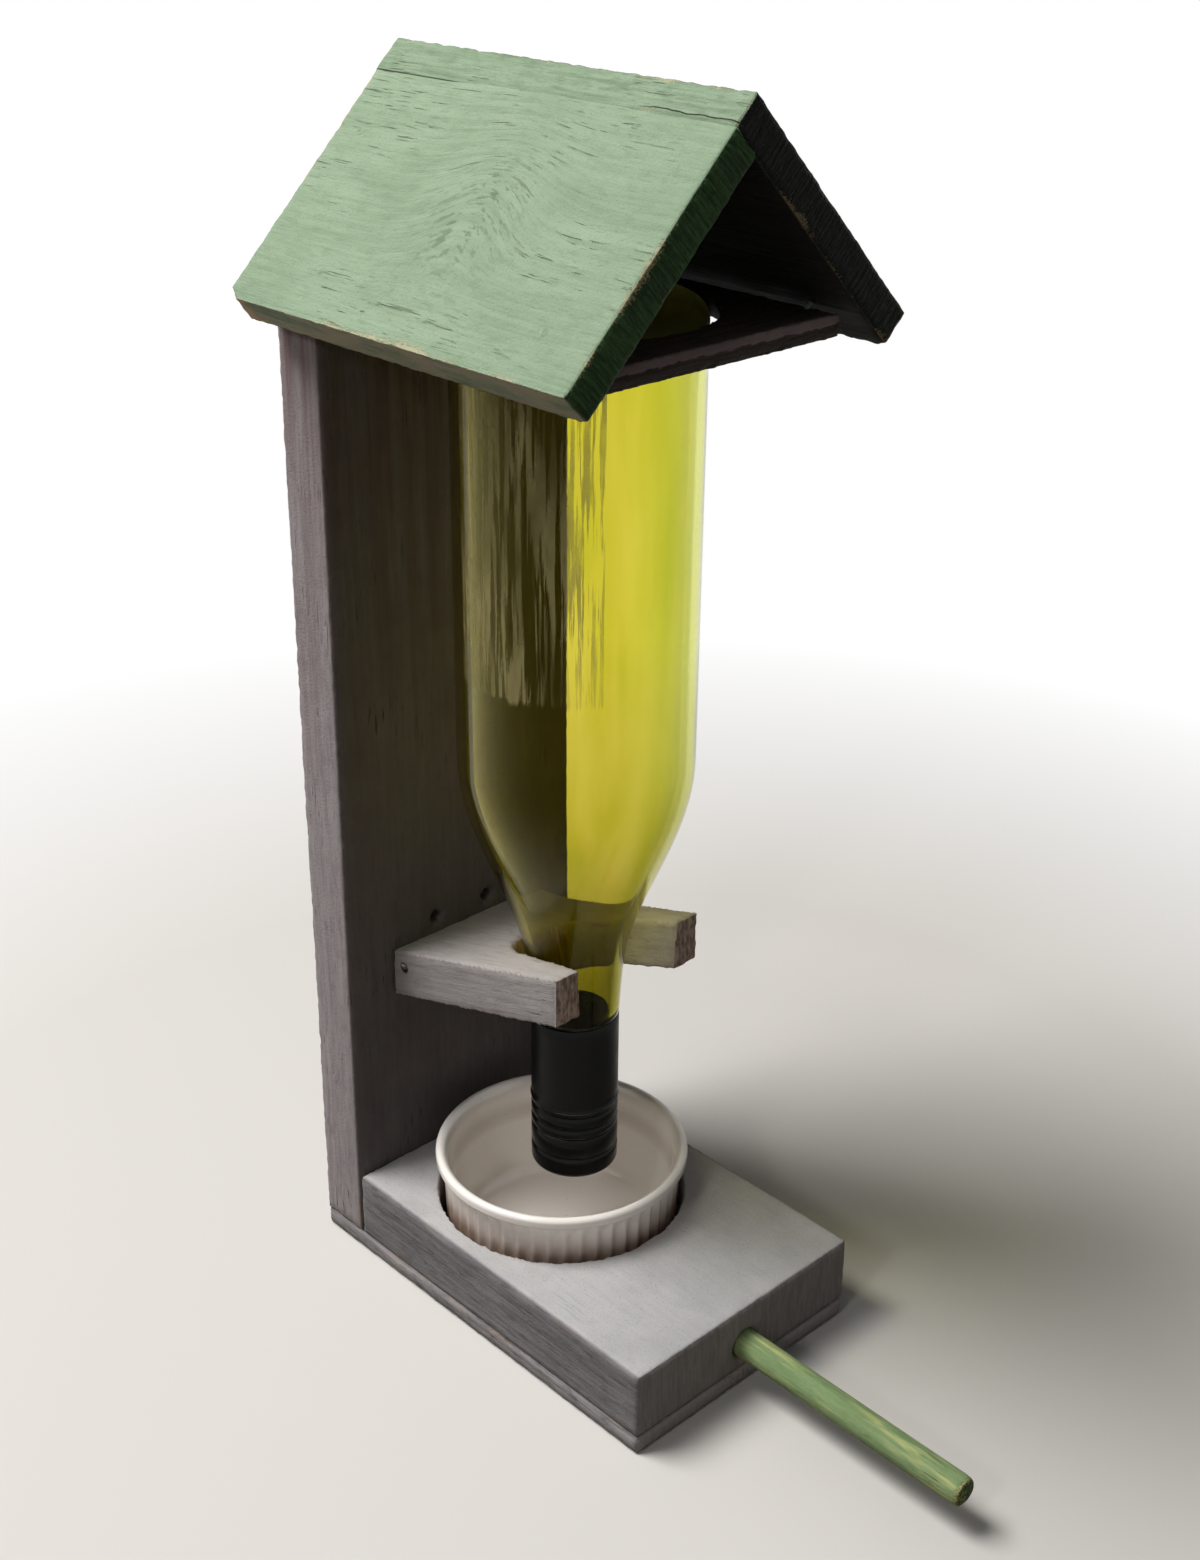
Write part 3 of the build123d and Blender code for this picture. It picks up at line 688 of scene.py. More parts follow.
def dark_pits(coordinates, pattern, tone):
    """Rust and shadow in the nail holes in both ends."""
    sideways, depth, height = axes(coordinates)
    outward = sums("SUBTRACT", sums("ABSOLUTE", sideways), holder_high.x)
    across = sums("SUBTRACT", depth, pit_place.y - holder_high.x + pit_place.x)
    upward = sums("SUBTRACT", height, pit_place.z)
    from_mouth = put(outward.id_data, "CombineXYZ", {0: outward, 1: across, 2: upward}).outputs[0]
    distance = length_of(from_mouth)
    return mixed(span(distance, 2.4 * MM, 1.5 * MM), tone, colour(34, 29, 27))


holder_tones = ((174, 168, 166), (116, 109, 108), (184, 178, 176), (140, 118, 100), (212, 188, 172))
holder_paint = painted_wood(
    "holder_paint", (TILT, 0, 0), holder_tones, wear=0.4, checks=0.6, sawn=1.0, relief=0.5 * MM,
    cover=dark_pits,
)
dress(holder, holder_paint, "stand", "grey_timber", "neck_holder")


# Bottle: yellow-green blown glass, set mouth down with its shoulder resting in the holder's slot.
# Its base reaches into the ceiling's hole and is pushed in to a punt; its neck is threaded for the cap.
def fair_side(knots, first, last, count):
    """Points along a fair curve through knots with set end directions, without its end."""
    places = numpy.array(knots, float)
    chords = numpy.linalg.norm(numpy.diff(places, axis=0), axis=1)
    slopes = numpy.zeros_like(places)
    system = numpy.eye(len(places))
    slopes[0] = numpy.array(first) / numpy.linalg.norm(first)
    slopes[-1] = numpy.array(last) / numpy.linalg.norm(last)
    for index in range(1, len(places) - 1):
        before, after = chords[index - 1], chords[index]
        system[index, index - 1 : index + 2] = (1 / before, 2 / before + 2 / after, 1 / after)
        slopes[index] = 3 * (
            (places[index] - places[index - 1]) / before**2 + (places[index + 1] - places[index]) / after**2
        )
    slopes = numpy.linalg.solve(system, slopes)
    points = []
    for index, chord in enumerate(chords):
        for step in range(count):
            t = step / count
            point = (2 * t**3 - 3 * t**2 + 1) * places[index] + (3 * t**2 - 2 * t**3) * places[index + 1]
            point += chord * ((t**3 - 2 * t**2 + t) * slopes[index] + (t**3 - t**2) * slopes[index + 1])
            points.append(tuple(point))
    return points


GLASS_WALL = 3 * MM
MOUTH_RADIUS = 9.25 * MM
MOUTH_ROUND = 0.8 * MM
FINISH_RADIUS = 11.9 * MM
CLOSURE_RADIUS = 15 * MM
SHELL = 0.6 * MM
HEEL = 6 * MM
PUNT_DEPTH = 7 * MM
GLASS_BASE = 6 * MM
BEAD = 2.6 * MM
bottle_radius = (bottle_high.x - bottle_low.x) / 2
mouth = bottle_low.z
top = bottle_high.z
sleeve_low, sleeve_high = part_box("cap_sleeve")
cap_low, cap_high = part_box("screw_cap")
tear = cap_high.z
NECK_GAP = 0.05 * MM
neck_radius = CLOSURE_RADIUS - SHELL - NECK_GAP
collar = sleeve_high.z + CLOSURE_RADIUS - neck_radius
shoulder_height = SEAT_HEIGHT + 23 * MM
body_height = shoulder_height + 44 * MM
SHOULDER_RADIUS = 25.6 * MM
NECK_FLARE = 0.06
punt_radius = bottle_radius - 2 * HEEL
inner_top = top - GLASS_BASE
inner_radius = bottle_radius - GLASS_WALL
neck_start = tear + 2 * BEAD + neck_radius - FINISH_RADIUS


def bottle_side(inset, count):
    """Side of the bottle from the collar to the straight body, moved in by an inset."""
    return fair_side(
        [
            (CLOSURE_RADIUS - inset, collar), (SEAT_RADIUS - inset, SEAT_HEIGHT),
            (SHOULDER_RADIUS - inset, shoulder_height), (bottle_radius - inset, body_height),
        ],
        (NECK_FLARE, 1), (0, 1), count,
    )


def punt(height, count):
    """Points from the edge to the middle of the pushed-in base."""
    radii = [punt_radius * (1 - index / count) for index in range(count + 1)]
    return [(r, height - PUNT_DEPTH * (0.5 + 0.5 * cos(pi * r / punt_radius))) for r in radii]


profile = [(MOUTH_RADIUS, mouth)]
profile += rounded((FINISH_RADIUS - MOUTH_ROUND, mouth + MOUTH_ROUND), MOUTH_ROUND, -90, 0, 4)
profile += straight((FINISH_RADIUS, mouth + MOUTH_ROUND), (FINISH_RADIUS, tear), 4)
profile += rounded((FINISH_RADIUS, tear + BEAD / 2), BEAD / 2, -90, 90, 8)
profile += [(FINISH_RADIUS, tear + 2 * BEAD), (neck_radius, neck_start)]
profile += straight((neck_radius, neck_start + 1 * MM), (neck_radius, sleeve_high.z), 4)
profile += [(neck_radius, sleeve_high.z)]
profile += bottle_side(0, 16)
profile += straight((bottle_radius, body_height), (bottle_radius, top - HEEL), 12)
profile += rounded((bottle_radius - HEEL, top - HEEL), HEEL, 0, 90, 8)
profile += straight((bottle_radius - HEEL, top), (punt_radius, top), 3)
profile += punt(top, 10)
inner = [(MOUTH_RADIUS, mouth + 0.6 * MM)]
inner += straight((MOUTH_RADIUS, mouth + 2 * MM), (MOUTH_RADIUS, tear + BEAD), 4)
inner += straight((MOUTH_RADIUS, tear + BEAD), (CLOSURE_RADIUS - GLASS_WALL, collar), 6)
inner += bottle_side(GLASS_WALL, 16)
inner += straight((inner_radius, body_height), (inner_radius, inner_top - HEEL), 12)
inner += rounded((inner_radius - HEEL, inner_top - HEEL), HEEL, 0, 90, 8)
inner += straight((inner_radius - HEEL, inner_top), (punt_radius, inner_top), 3)
inner += punt(inner_top, 10)
bottle = spin_profile("glass_bottle", list(reversed(inner)) + profile, bottle_centre, 128)
THREAD_PITCH = 3.6 * MM
THREAD_TURNS = 2
THREAD_FOOT = FINISH_RADIUS - 0.05 * MM
THREAD_TIP = FINISH_RADIUS + 1.0 * MM
FOOT_HALF = 0.8 * MM
TIP_HALF = 0.27 * MM
thread_start = mouth + 2.2 * MM
section = [(THREAD_FOOT, -FOOT_HALF), (THREAD_TIP, -TIP_HALF)]
section += [(radius, -rise) for radius, rise in reversed(section)]
thread = add_mesh(
    "neck_thread",
    [(radius, 0, thread_start + rise) for radius, rise in section],
    [(0, 1), (1, 2), (2, 3), (3, 0)],
)
apply_modifier(
    thread, "SCREW", axis="Z", iterations=THREAD_TURNS, screw_offset=THREAD_PITCH, steps=64, render_steps=64
)
thread.location = (bottle_centre.x, bottle_centre.y, 0)
settle(thread)
edit(thread, ("fill_holes", {"sides": 4}), OUTWARDS)
bpy.ops.object.shade_smooth_by_angle(angle=radians(30))
hold(bottle)
thread.select_set(True)
bpy.ops.object.join()
glass_constants = {"Transmission Weight": 1.0, "IOR": 1.5, "Specular Tint": (0.05, 0.045, 0.02, 1.0)}
glass, shader, coordinates = new_material("bottle_glass", glass_constants)
tree = glass.node_tree
glass_drift = noise(turned(coordinates, scale=(1, 1, 0.15)), 70.0, 3.0)
glass_tone = mixed(span(glass_drift, 0.35, 0.65), (0.87, 0.79, 0.29, 1.0), (0.72, 0.69, 0.13, 1.0))
sideways, depth, height = axes(coordinates)
# Painted shading: the glass is tinted greener towards +X and -Y, its shaded side.
shaded_side = span(sums("SUBTRACT", sideways, depth), 15 * MM, 50 * MM, 0.0, 0.5)
glass_tone = mixed(shaded_side, glass_tone, (0.6, 0.7, 0.06, 1.0))
# The glass darkens from the shoulder down towards the neck.
darker_neck = span(height, SEAT_HEIGHT + 26 * MM, SEAT_HEIGHT - 12 * MM)
glass_tone = mixed(darker_neck, glass_tone, (0.4, 0.37, 0.02, 1.0))
# Painted shade: the base, up in the dark roof space, goes nearly black, and the same mask also roughens it.
base_shade = span(height, inner_top - 6 * MM, inner_top)
glass_tone = mixed(base_shade, glass_tone, (0.03, 0.027, 0.004, 1.0))
# Painted shade: the glass darkens towards its outline.
outline_shade = put(tree, "LayerWeight", {"Blend": 0.3}).outputs["Facing"]
glass_tone = mixed(span(outline_shade, 0.55, 0.9, 0.0, 0.8), glass_tone, (0.12, 0.12, 0.03, 1.0))
smears = noise(turned(coordinates, scale=(1, 1, 0.08)), 160.0, 4.0)
smeared = span(smears, 0.5, 0.8, 0.01, 0.06)
dusty = sums("ADD", smeared, times(base_shade, 0.5))
waves = noise(turned(coordinates, scale=(1, 1, 0.25)), 45.0, 1.0)
surface(shader, glass_tone, dusty, waves, 0.12, 0.6 * MM)
lamp_ray = put(tree, "LightPath").outputs["Is Shadow Ray"]
lets_through = put(tree, "BsdfTransparent", {"Color": (0.86, 0.855, 0.77, 1.0)})
glass_mix = put(tree, "MixShader", {0: lamp_ray, 1: shader.outputs[0], 2: lets_through.outputs[0]})
tree.links.new(glass_mix.outputs[0], tree.nodes["Material Output"].inputs["Surface"])
dress(bottle, glass, "bottle", "bottle_glass", "bottle")


# Label residue: a film of old glue left on the glass where the label was soaked off.
# It lies on the bottle's left side in thin upright runs with ragged lower ends.
GLUE_FROM = radians(163)
GLUE_TO = radians(239)
GLUE_LOW = 236 * MM
GLUE_HIGH = 336 * MM
GLUE_LIFT = 0.06 * MM
glue = add_shape(bpy.ops.mesh.primitive_grid_add, x_subdivisions=64, y_subdivisions=48, size=1)
glue.name = "label_glue"
for vertex in glue.data.vertices:
    turn = GLUE_FROM + (GLUE_TO - GLUE_FROM) * (vertex.co.x + 0.5)
    radius = bottle_radius + GLUE_LIFT
    rise = GLUE_LOW + (GLUE_HIGH - GLUE_LOW) * (vertex.co.y + 0.5)
    vertex.co = (bottle_centre.x + radius * cos(turn), bottle_centre.y + radius * sin(turn), rise)
edit(glue, OUTWARDS)
bpy.ops.object.shade_smooth()
residue, shader, coordinates = new_material("glue_residue", {"Roughness": 0.55})
tree = residue.node_tree
runs = noise(turned(coordinates, scale=(1, 1, 0.04)), 560.0, 4.0, 0.6)
clumps = noise(turned(coordinates, scale=(1, 1, 0.3)), 90.0, 3.0)
height = axes(coordinates)[2]
ragged = sums("ADD", height, times(runs, 14 * MM))
patch = span(ragged, GLUE_LOW + 8 * MM, GLUE_LOW + 9.5 * MM)
film = times(span(runs, 0.46, 0.52), span(clumps, 0.35, 0.6, 0.3, 1.0))
opacity = times(times(film, patch), 0.7)
tree.links.new(opacity, shader.inputs["Alpha"])
glue_tone = mixed(clumps, colour(116, 104, 54), colour(180, 170, 112))
tree.links.new(glue_tone, shader.inputs["Base Color"])
glue.data.materials.append(residue)
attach(glue, "bottle")


# Closure: a long-skirt screw closure in two drawn aluminium shells, enamelled satin black.
# The sleeve stays rolled on to the neck above the tear line; the cap below it turns on the thread.
def groove(rise, depth=0.52 * MM, half=1.0 * MM):
    """Points down one side and up the other of a rolled groove; a depth below 0 makes a bead."""
    shares = (0.0, 0.08, 0.3, 0.7, 0.92, 1.0)
    down = [(CLOSURE_RADIUS - depth * share, rise - half * (1 - 0.9 * share)) for share in shares]
    return down + [(radius, 2 * rise - place) for radius, place in reversed(down)]


SLEEVE_GROOVES = (3.6 * MM, 8.5 * MM)
SLEEVE_BEAD = 11.2 * MM
CAP_GROOVE = 7.7 * MM
BREAK = 0.25 * MM
BREAK_RISE = 0.3 * MM
shell_inside = CLOSURE_RADIUS - SHELL
profile = [(shell_inside, sleeve_low.z), (CLOSURE_RADIUS - BREAK, sleeve_low.z)]
profile += [(CLOSURE_RADIUS, sleeve_low.z + BREAK_RISE), (CLOSURE_RADIUS, tear + 2 * MM)]
profile += groove(tear + SLEEVE_GROOVES[0])
profile += [(CLOSURE_RADIUS, tear + 6 * MM)]
profile += groove(tear + SLEEVE_GROOVES[1])
profile += groove(tear + SLEEVE_BEAD, -0.3 * MM, 0.7 * MM)
profile += straight((CLOSURE_RADIUS, tear + 14 * MM), (CLOSURE_RADIUS, sleeve_high.z - 0.5 * MM), 8)
profile += [(CLOSURE_RADIUS, sleeve_high.z - 0.4 * MM), (CLOSURE_RADIUS - 0.3 * MM, sleeve_high.z)]
profile += [(shell_inside, sleeve_high.z), (shell_inside, sleeve_low.z)]
sleeve = spin_profile("closure_sleeve", profile, bottle_centre, 96)
CAP_CORNER = 2 * MM
LINER_GAP = 0.05 * MM
cap_floor = cap_low.z + SHELL - LINER_GAP
profile = straight((0, cap_low.z), (CLOSURE_RADIUS - CAP_CORNER, cap_low.z), 5)
profile += rounded((CLOSURE_RADIUS - CAP_CORNER, cap_low.z + CAP_CORNER), CAP_CORNER, -90, 0, 8)
profile += [(CLOSURE_RADIUS, cap_low.z + CAP_CORNER), (CLOSURE_RADIUS, cap_low.z + 5 * MM)]
profile += groove(cap_low.z + CAP_GROOVE)
profile += [(CLOSURE_RADIUS, cap_low.z + 12 * MM), (CLOSURE_RADIUS, tear - BREAK_RISE)]
profile += [(CLOSURE_RADIUS - BREAK, tear), (shell_inside, tear)]
profile += straight((shell_inside, tear - 1 * MM), (shell_inside, cap_low.z + CAP_CORNER), 4)
profile += rounded((CLOSURE_RADIUS - CAP_CORNER, cap_low.z + CAP_CORNER), CAP_CORNER - SHELL, 0, -90, 6)
profile += straight((CLOSURE_RADIUS - CAP_CORNER, cap_floor), (0, cap_floor), 5)
profile += [(0, cap_floor)]
cap = spin_profile("closure_cap", profile, bottle_centre, 96)
enamel, shader, coordinates = new_material("black_enamel", {"Specular IOR Level": 0.12})
scuffs = noise(turned(coordinates, scale=(1, 1, 0.2)), 700.0, 4.0, 0.65)
film = noise(coordinates, 120.0, 4.0)
enamel_tone = mixed(span(scuffs, 0.6, 0.85, 0.0, 0.5), colour(9, 9, 9), colour(34, 33, 32))
height = axes(coordinates)[2]
satin = span(height, tear + 12 * MM, tear + 16 * MM, 0.14, 0.32)
gloss = sums("ADD", satin, span(film, 0.3, 0.7, 0.0, 0.1))
surface(shader, enamel_tone, gloss, scuffs, 0.1, 0.2 * MM)
dress(sleeve, enamel, "bottle", "black_closure", "cap_sleeve")
dress(cap, enamel, "cap", "black_closure", "screw_cap")


# Cap insert and liner: a pale grey moulded plastic ring pressed into the cap, which carries the thread,
# and a disc of pale foam laid in the cap that seals the bottle's mouth.
insert_plastic, shader, coordinates = new_material("insert_plastic")
flow = noise(coordinates, 300.0, 3.0)
insert_tone = mixed(flow, colour(205, 203, 198), colour(222, 220, 214))
surface(shader, insert_tone, span(flow, 0.3, 0.7, 0.35, 0.5))
liner_foam, shader, coordinates = new_material("liner_foam")
cells = put(liner_foam.node_tree, "TexVoronoi", {"Vector": coordinates, "Scale": 2500.0}).outputs[0]
foam_tone = mixed(cells, colour(226, 224, 220), colour(204, 201, 196))
surface(shader, foam_tone, span(cells, 0.0, 1.0, 0.7, 0.9), cells, 0.4, 0.2 * MM)


def repaint(node, material):
    """Give a CAD node that stays in view its material."""
    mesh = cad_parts[node].data
    mesh.materials.clear()
    mesh.materials.append(material)


repaint("cap_insert", insert_plastic)
repaint("cap_liner", liner_foam)


# Ceiling board: plywood between the backboard and the front of the roof, resting edge to edge on both slopes.
# A sawn hole steadies the bottle's base; its front edge shows dark, chipped layers.
ceiling_low, ceiling_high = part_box("ceiling_board")
ceiling = add_board("ceiling_sheet", ceiling_low, ceiling_high)
CEILING_HOLE = 41 * MM
bore(ceiling, (0, bottle_centre.y, ceiling_low.z), CEILING_HOLE, THROUGH, sides=96)
weather(ceiling, ripple=0.3 * MM, nibble=2.0 * MM, shift=0.43, grain=0)


def plywood_layers(coordinates, pattern, tone):
    """Dark glue lines between the veneers on the sawn edges, and a paler top veneer in front."""
    depth, height = axes(coordinates)[1:3]
    wobble = times(noise(coordinates, 220.0, 3.0), 2.0 * MM)
    wavy = sums("ADD", height, wobble)
    layer = sums("PINGPONG", wavy, 1.2 * MM)
    tone = mixed(span(layer, 0.0, 0.5 * MM, 0.75, 0.0), tone, colour(26, 22, 18))
    front = span(depth, ceiling_low.y + 2 * MM, ceiling_low.y + 1 * MM)
    veneer = span(wavy, ceiling_high.z - 1.6 * MM, ceiling_high.z - 1.2 * MM)
    return mixed(times(front, veneer), tone, colour(150, 134, 130))


GRAIN_X = (0, 0, radians(90))
ceiling_tones = ((66, 58, 52), (34, 30, 27), (84, 75, 68), (122, 106, 92), (52, 46, 41))
ceiling_wood = painted_wood(
    "ceiling_wood", GRAIN_X, ceiling_tones, wear=0.35, checks=1.0, sawn=1.0, relief=0.9 * MM,
    cover=plywood_layers,
)
dress(ceiling, ceiling_wood, "stand", "bare_plywood", "ceiling_board")


# Roof boards: two rough-sawn boards at a right angle, the right one lapping over the left at the ridge.
# They are nailed to each other, to the gable and to the ceiling's edges, and brushed with sage green paint.
roof_low, roof_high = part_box("roof_board_right")
SLOPE = 95 * MM
ROOF_THICKNESS = 12 * MM
ridge = roof_high.z
PITCH = radians(45)


def add_roof_board(name, side, start, shift, calm):
    """Shape a roof board flat, break its corners, then turn it to its pitch about the ridge."""
    low = (min(side * start, side * SLOPE), roof_low.y, -ROOF_THICKNESS)
    high = (max(side * start, side * SLOPE), roof_high.y, 0)
    board = add_board(name, low, high)
    broken = [
        ((side * SLOPE, roof_high.y - 5 * MM, 0), (side, 0.7, 0.3)),
        ((side * SLOPE, roof_low.y + 2 * MM, -ROOF_THICKNESS), (side, -0.6, -0.8)),
    ]
    for place, facing in broken:
        cut_off(board, place, facing)
    weather(board, ripple=0.35 * MM, nibble=0.9 * MM, shift=shift, rough=(0.8, 1.0, 0.4), calm=calm)
    chipped = Vector(broken[0][1]).normalized()
    # The inside mark carries painted shade; the eave and chip marks carry bare and split wood.
    tests = {
        "inside": lambda normal: normal.z < -0.6,
        "eave": lambda normal: side * normal.x > 0.7,
        "chip": lambda normal: normal.dot(chipped) > 0.96,
    }
    for face, test in tests.items():
        mark(board, face, [float(test(vertex.normal)) for vertex in board.data.vertices])
    board.rotation_euler = (0, side * PITCH, 0)
    board.location = (0, 0, ridge)
    settle(board)
    return board


FRESH_WOOD = (208, 184, 146)


def bare_and_shaded_faces(coordinates, pattern, tone):
    """Grey eave with smears of paint, a corner split to fresh wood, and painted shade that turns the inner
    face nearly black.
    """
    inside, eave, chip = (
        put(tone.id_data, "Attribute", attribute_name=face).outputs["Fac"]
        for face in ("inside", "eave", "chip")
    )
    smears = noise(turned(pattern, scale=(1, 0.25, 1)), 260.0, 4.0, 0.65)
    bare = times(eave, span(smears, 0.62, 0.42))
    tone = mixed(bare, tone, colour(178, 174, 150))
    along = axes(coordinates)[1]
    split_end = sums("ADD", along, span(smears, 0.3, 0.7, -6 * MM, 6 * MM))
    split_end = span(split_end, roof_high.y - 8 * MM, roof_high.y - 7 * MM)
    chip = sums("MAXIMUM", chip, times(eave, split_end))
    tone = mixed(chip, tone, colour(*FRESH_WOOD))
    # Painted shade: the inner face under the roof goes nearly black.
    return mixed(inside, tone, colour(20, 19, 17))


# The pattern is turned back to the flat board, so the ridge's height moves into its X and Z.
KNOT_ALONG = 5 * MM
KNOT_DOWN = 46 * MM
KNOT_PUSH = 14 * MM
KNOT_X = KNOT_DOWN - ridge * sin(PITCH)
KNOT_Z = -ridge * cos(PITCH)


def knot_bulge(pattern):
    """Grain that bulges towards the ridge round a knot in the left board."""
    away = turned(pattern, place=(KNOT_X, -KNOT_ALONG, KNOT_Z))
    parts = axes(away)
    beside = sums("POWER", sums("DIVIDE", parts[0], 22 * MM), 2.0)
    before = sums("POWER", sums("DIVIDE", parts[1], 20 * MM), 2.0)
    falling = sums("POWER", 0.37, sums("ADD", beside, before))
    tree = pattern.id_data
    push = put(tree, "CombineXYZ", {0: times(falling, -KNOT_PUSH)}).outputs[0]
    return put(tree, "VectorMath", {0: pattern, 1: push}, operation="ADD").outputs[0]


def knot_marks(coordinates, pattern, tone):
    """Short dark splits in the paint round the knot."""
    away = turned(pattern, place=(KNOT_X + KNOT_PUSH, -KNOT_ALONG, 0), scale=(1, 1, 0))
    distance = length_of(away)
    splits = noise(turned(pattern, scale=(1, 0.3, 1)), 700.0, 3.0, 0.6)
    near = span(distance, 9 * MM, 24 * MM, 0.45, 0.0)
    share = times(near, span(splits, 0.54, 0.62))
    return bare_and_shaded_faces(coordinates, pattern, mixed(share, tone, colour(66, 82, 60)))


SEAM_OPEN = roof_low.y + 38 * MM
SAGE = (147, 166, 139)
SAGE_SHADE = (102, 122, 94)
SAGE_PALE = (157, 176, 149)
roof_left = add_roof_board(
    "roof_left", -1, ROOF_THICKNESS - 1.8 * MM, 0.11,
    lambda point: point.x > -ROOF_THICKNESS - 1 * MM and point.y > SEAM_OPEN,
)
left_tones = (SAGE, SAGE_SHADE, SAGE_PALE, FRESH_WOOD, (68, 98, 60))
left_paint = painted_wood(
    "roof_left_paint", (0, PITCH, 0), left_tones, wear=0.4, checks=0.45, sawn=1.2, relief=1.0 * MM,
    bend=knot_bulge, cover=knot_marks,
)
dress(roof_left, left_paint, "stand", "green_timber", "roof_board_left")
roof_right = add_roof_board(
    "roof_right", 1, 0.0, 0.83,
    lambda point: point.x < 1 * MM and point.z < -ROOF_THICKNESS / 2 and point.y > SEAM_OPEN,
)
SEAM_DOWN = 8.6 * MM
EDGE_X = -ridge * sin(PITCH)


def seam_crack(coordinates, pattern, tone):
    """Hairline crack where the paint over the ridge's seam has opened near the front."""
    tone = bare_and_shaded_faces(coordinates, pattern, tone)
    across, along, down = axes(pattern)
    wander = times(noise(coordinates, 120.0, 3.0), 1.6 * MM)
    line = sums("ADD", down, wander)
    line = sums("ABSOLUTE", sums("SUBTRACT", line, ridge * cos(PITCH) - SEAM_DOWN))
    crack = span(line, 0.12 * MM, 0.3 * MM, 1.0, 0.0)
    crack = times(crack, span(along, SEAM_OPEN, SEAM_OPEN - 6 * MM))
    crack = times(crack, span(across, EDGE_X + 2 * MM, EDGE_X + 1 * MM))
    return mixed(crack, tone, colour(40, 46, 34))


right_tones = (SAGE, SAGE_SHADE, SAGE_PALE, FRESH_WOOD, (17, 21, 14))
right_paint = painted_wood(
    "roof_right_paint", (0, -PITCH, 0), right_tones, wear=0.4, checks=0.45, sawn=1.8, relief=1.1 * MM,
    cover=seam_crack,
)
dress(roof_right, right_paint, "stand", "green_timber", "roof_board_right")


# Screws and nails: zinc-plated steel, driven in from behind, below and above and set flush in the wood.
# Those in the roof were painted over with it.
steel, shader, coordinates = new_material("zinc_steel", {"Metallic": 1.0})
spangle = noise(coordinates, 900.0, 3.0)
tarnish = noise(coordinates, 220.0, 4.0)
steel_tone = mixed(span(tarnish, 0.4, 0.7), colour(150, 148, 144), colour(104, 98, 90))
surface(shader, steel_tone, span(spangle, 0.3, 0.7, 0.35, 0.6), spangle, 0.3, 0.1 * MM)
head_paint, shader, coordinates = new_material("painted_heads", {"Specular IOR Level": 0.15})
brushed = noise(coordinates, 500.0, 4.0)
head_tone = mixed(span(brushed, 0.4, 0.7), colour(*SAGE), colour(*SAGE_SHADE))
surface(shader, head_tone, span(brushed, 0.3, 0.7, 0.55, 0.8))
for node in ("plate_screws", "block_screws", "holder_screws", "holder_brads"):
    repaint(node, steel)
for node in ("roof_brads", "ridge_brads", "ceiling_brads"):
    repaint(node, head_paint)


# Stage: a pale paper floor that fades to a white background, with soft studio light from the left and above.
# The camera stands where the photo's stood. Rays that only carry light find darker surroundings.
FLOOR_DROP = 0.2 * MM
FLOOR_RADIUS = 6
FADE_FROM = 0.28
FADE_TO = 0.6
floor = add_shape(
    bpy.ops.mesh.primitive_circle_add, vertices=96, radius=FLOOR_RADIUS, fill_type="NGON",
    location=(0, 0, -FLOOR_DROP),
)
floor.name = "floor"
settle(floor)


def seen_directly(tree):
    """1 for rays from the camera, off a gloss or through the glass, and 0 for rays that only carry light."""
    path = put(tree, "LightPath").outputs
    seen = sums("MAXIMUM", path["Is Camera Ray"], path["Is Glossy Ray"])
    return sums("MAXIMUM", seen, path["Is Transmission Ray"])


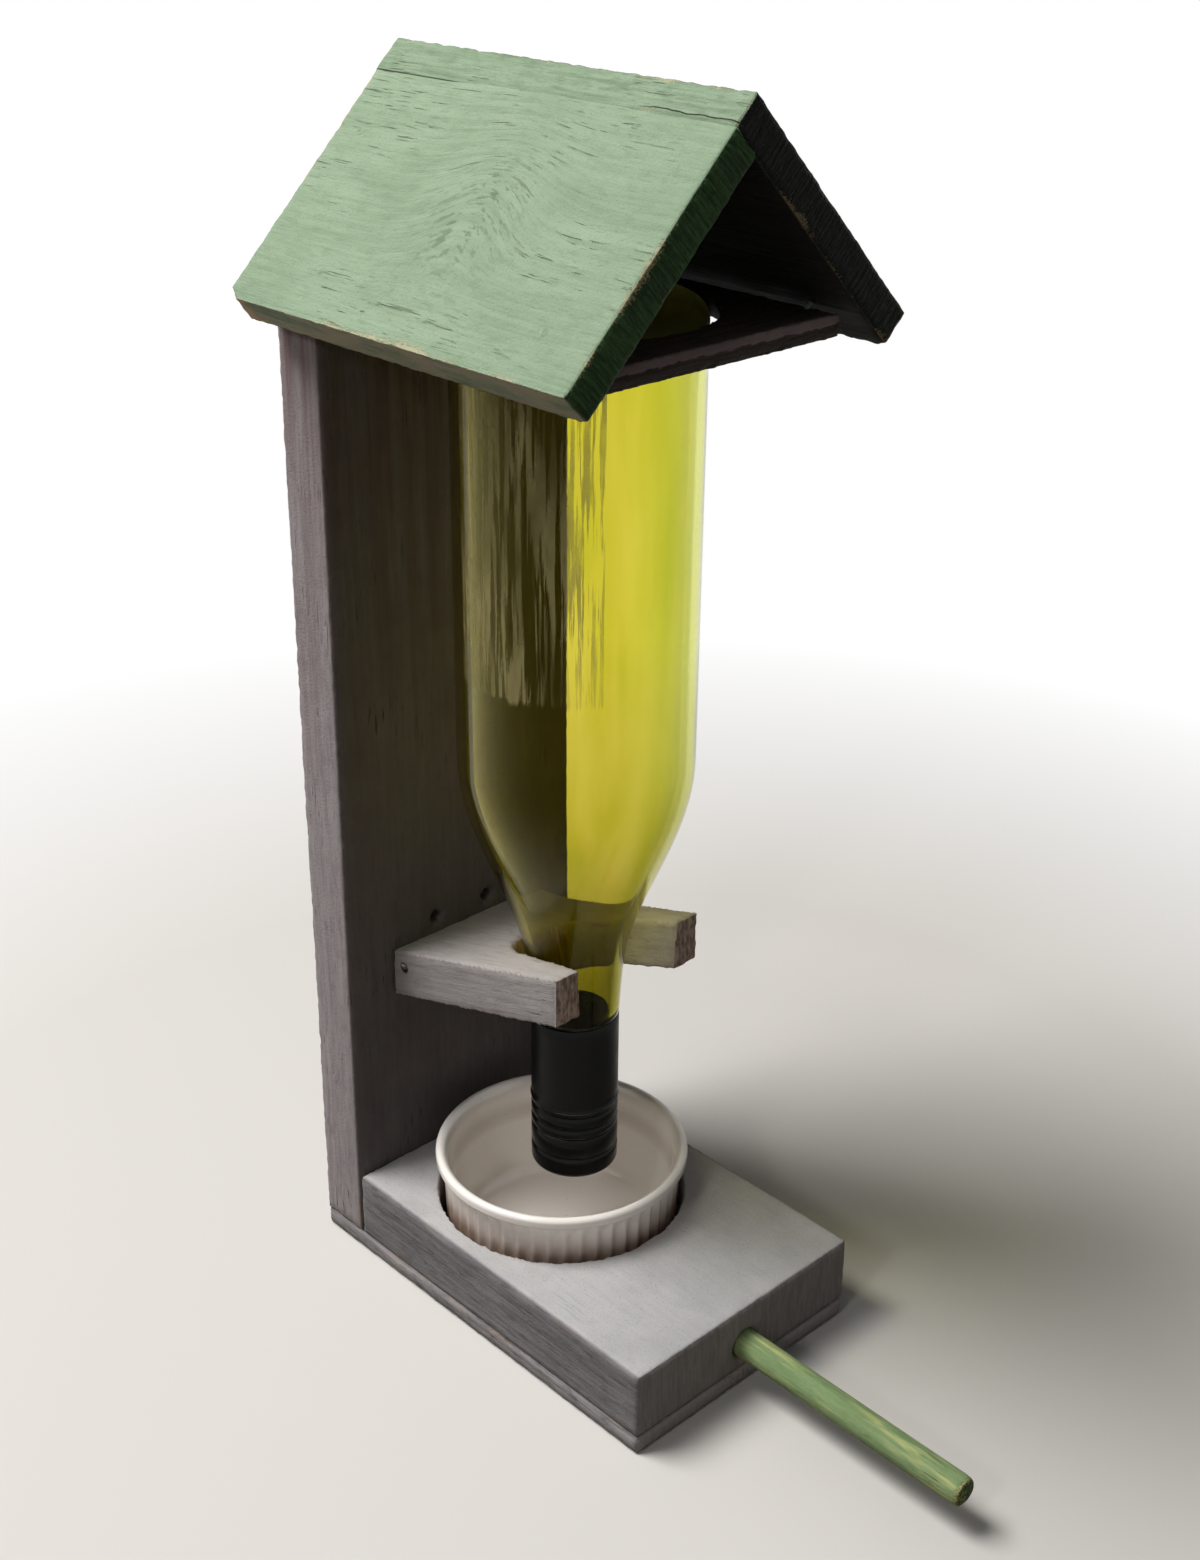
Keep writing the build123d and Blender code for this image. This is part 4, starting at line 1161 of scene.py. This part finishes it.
floor_constants = {"Roughness": 0.9, "Specular IOR Level": 0.0}
floor_paper, shader, coordinates = new_material("floor_paper", floor_constants)
tree = floor_paper.node_tree
seen = seen_directly(tree)
fade = span(length_of(coordinates), FADE_FROM, FADE_TO)
tree.links.new(mixed(seen, colour(110, 100, 92), colour(218, 214, 208)), shader.inputs["Base Color"])
glow = put(tree, "Emission", {"Color": (1, 1, 1, 1), "Strength": 1.0})
mix = put(tree, "MixShader", {0: times(fade, seen), 1: shader.outputs[0], 2: glow.outputs[0]})
below = put(tree, "NewGeometry").outputs["Backfacing"]
clear = put(tree, "BsdfTransparent")
mix = put(tree, "MixShader", {0: below, 1: mix.outputs[0], 2: clear.outputs[0]})
tree.links.new(mix.outputs[0], tree.nodes["Material Output"].inputs["Surface"])
floor.data.materials.append(floor_paper)

world = bpy.data.worlds.new("studio")
bpy.context.scene.world = world
world.use_nodes = True
tree = world.node_tree
seen = seen_directly(tree)
backdrop = tree.nodes["Background"]
tree.links.new(mixed(seen, (0.075, 0.075, 0.077, 1.0), (1.0, 1.0, 1.0, 1.0)), backdrop.inputs["Color"])

# Each lamp has a name, a place, the point it is aimed at, a width in metres and a power in watts.
lamps = (
    ("key", (-0.72, 0.72, 2.0), (0, 0, 0.2), 1.0, 54),
    ("window", (-1.4, -0.36, 1.15), (0, 0, 0.1), 0.2, 3),
    ("fill", (-1.6, -1.4, 0.9), (0, 0, 0.2), 1.5, 1.6),
)
for name, place, target, width, power in lamps:
    light = bpy.data.lights.new(name, "AREA")
    light.shape = "SQUARE"
    light.size = width
    light.energy = power
    lamp = add_object(name, light)
    lamp.location = place
    lamp.rotation_euler = (Vector(target) - Vector(place)).to_track_quat("-Z", "Y").to_euler()

PHOTO_LONG_SIDE = 1560
FOCAL_PIXELS = 2079.4
EYE = Vector((-409.17, -435.12, 490.15)) * MM
AZIMUTH = radians(-43.827)
ELEVATION = radians(26.2315)
ROLL = radians(0.6075)
SENSOR = 36
lens = bpy.data.cameras.new("camera")
lens.sensor_width = SENSOR
lens.lens = SENSOR * FOCAL_PIXELS / PHOTO_LONG_SIDE
lens.clip_start = 10 * MM
camera = add_object("camera", lens)
aim = Matrix.Rotation(AZIMUTH, 4, "Z") @ Matrix.Rotation(radians(90) - ELEVATION, 4, "X")
camera.matrix_world = Matrix.Translation(EYE) @ aim @ Matrix.Rotation(ROLL, 4, "Z")
bpy.context.scene.camera = camera
bpy.context.scene.view_settings.view_transform = "Standard"
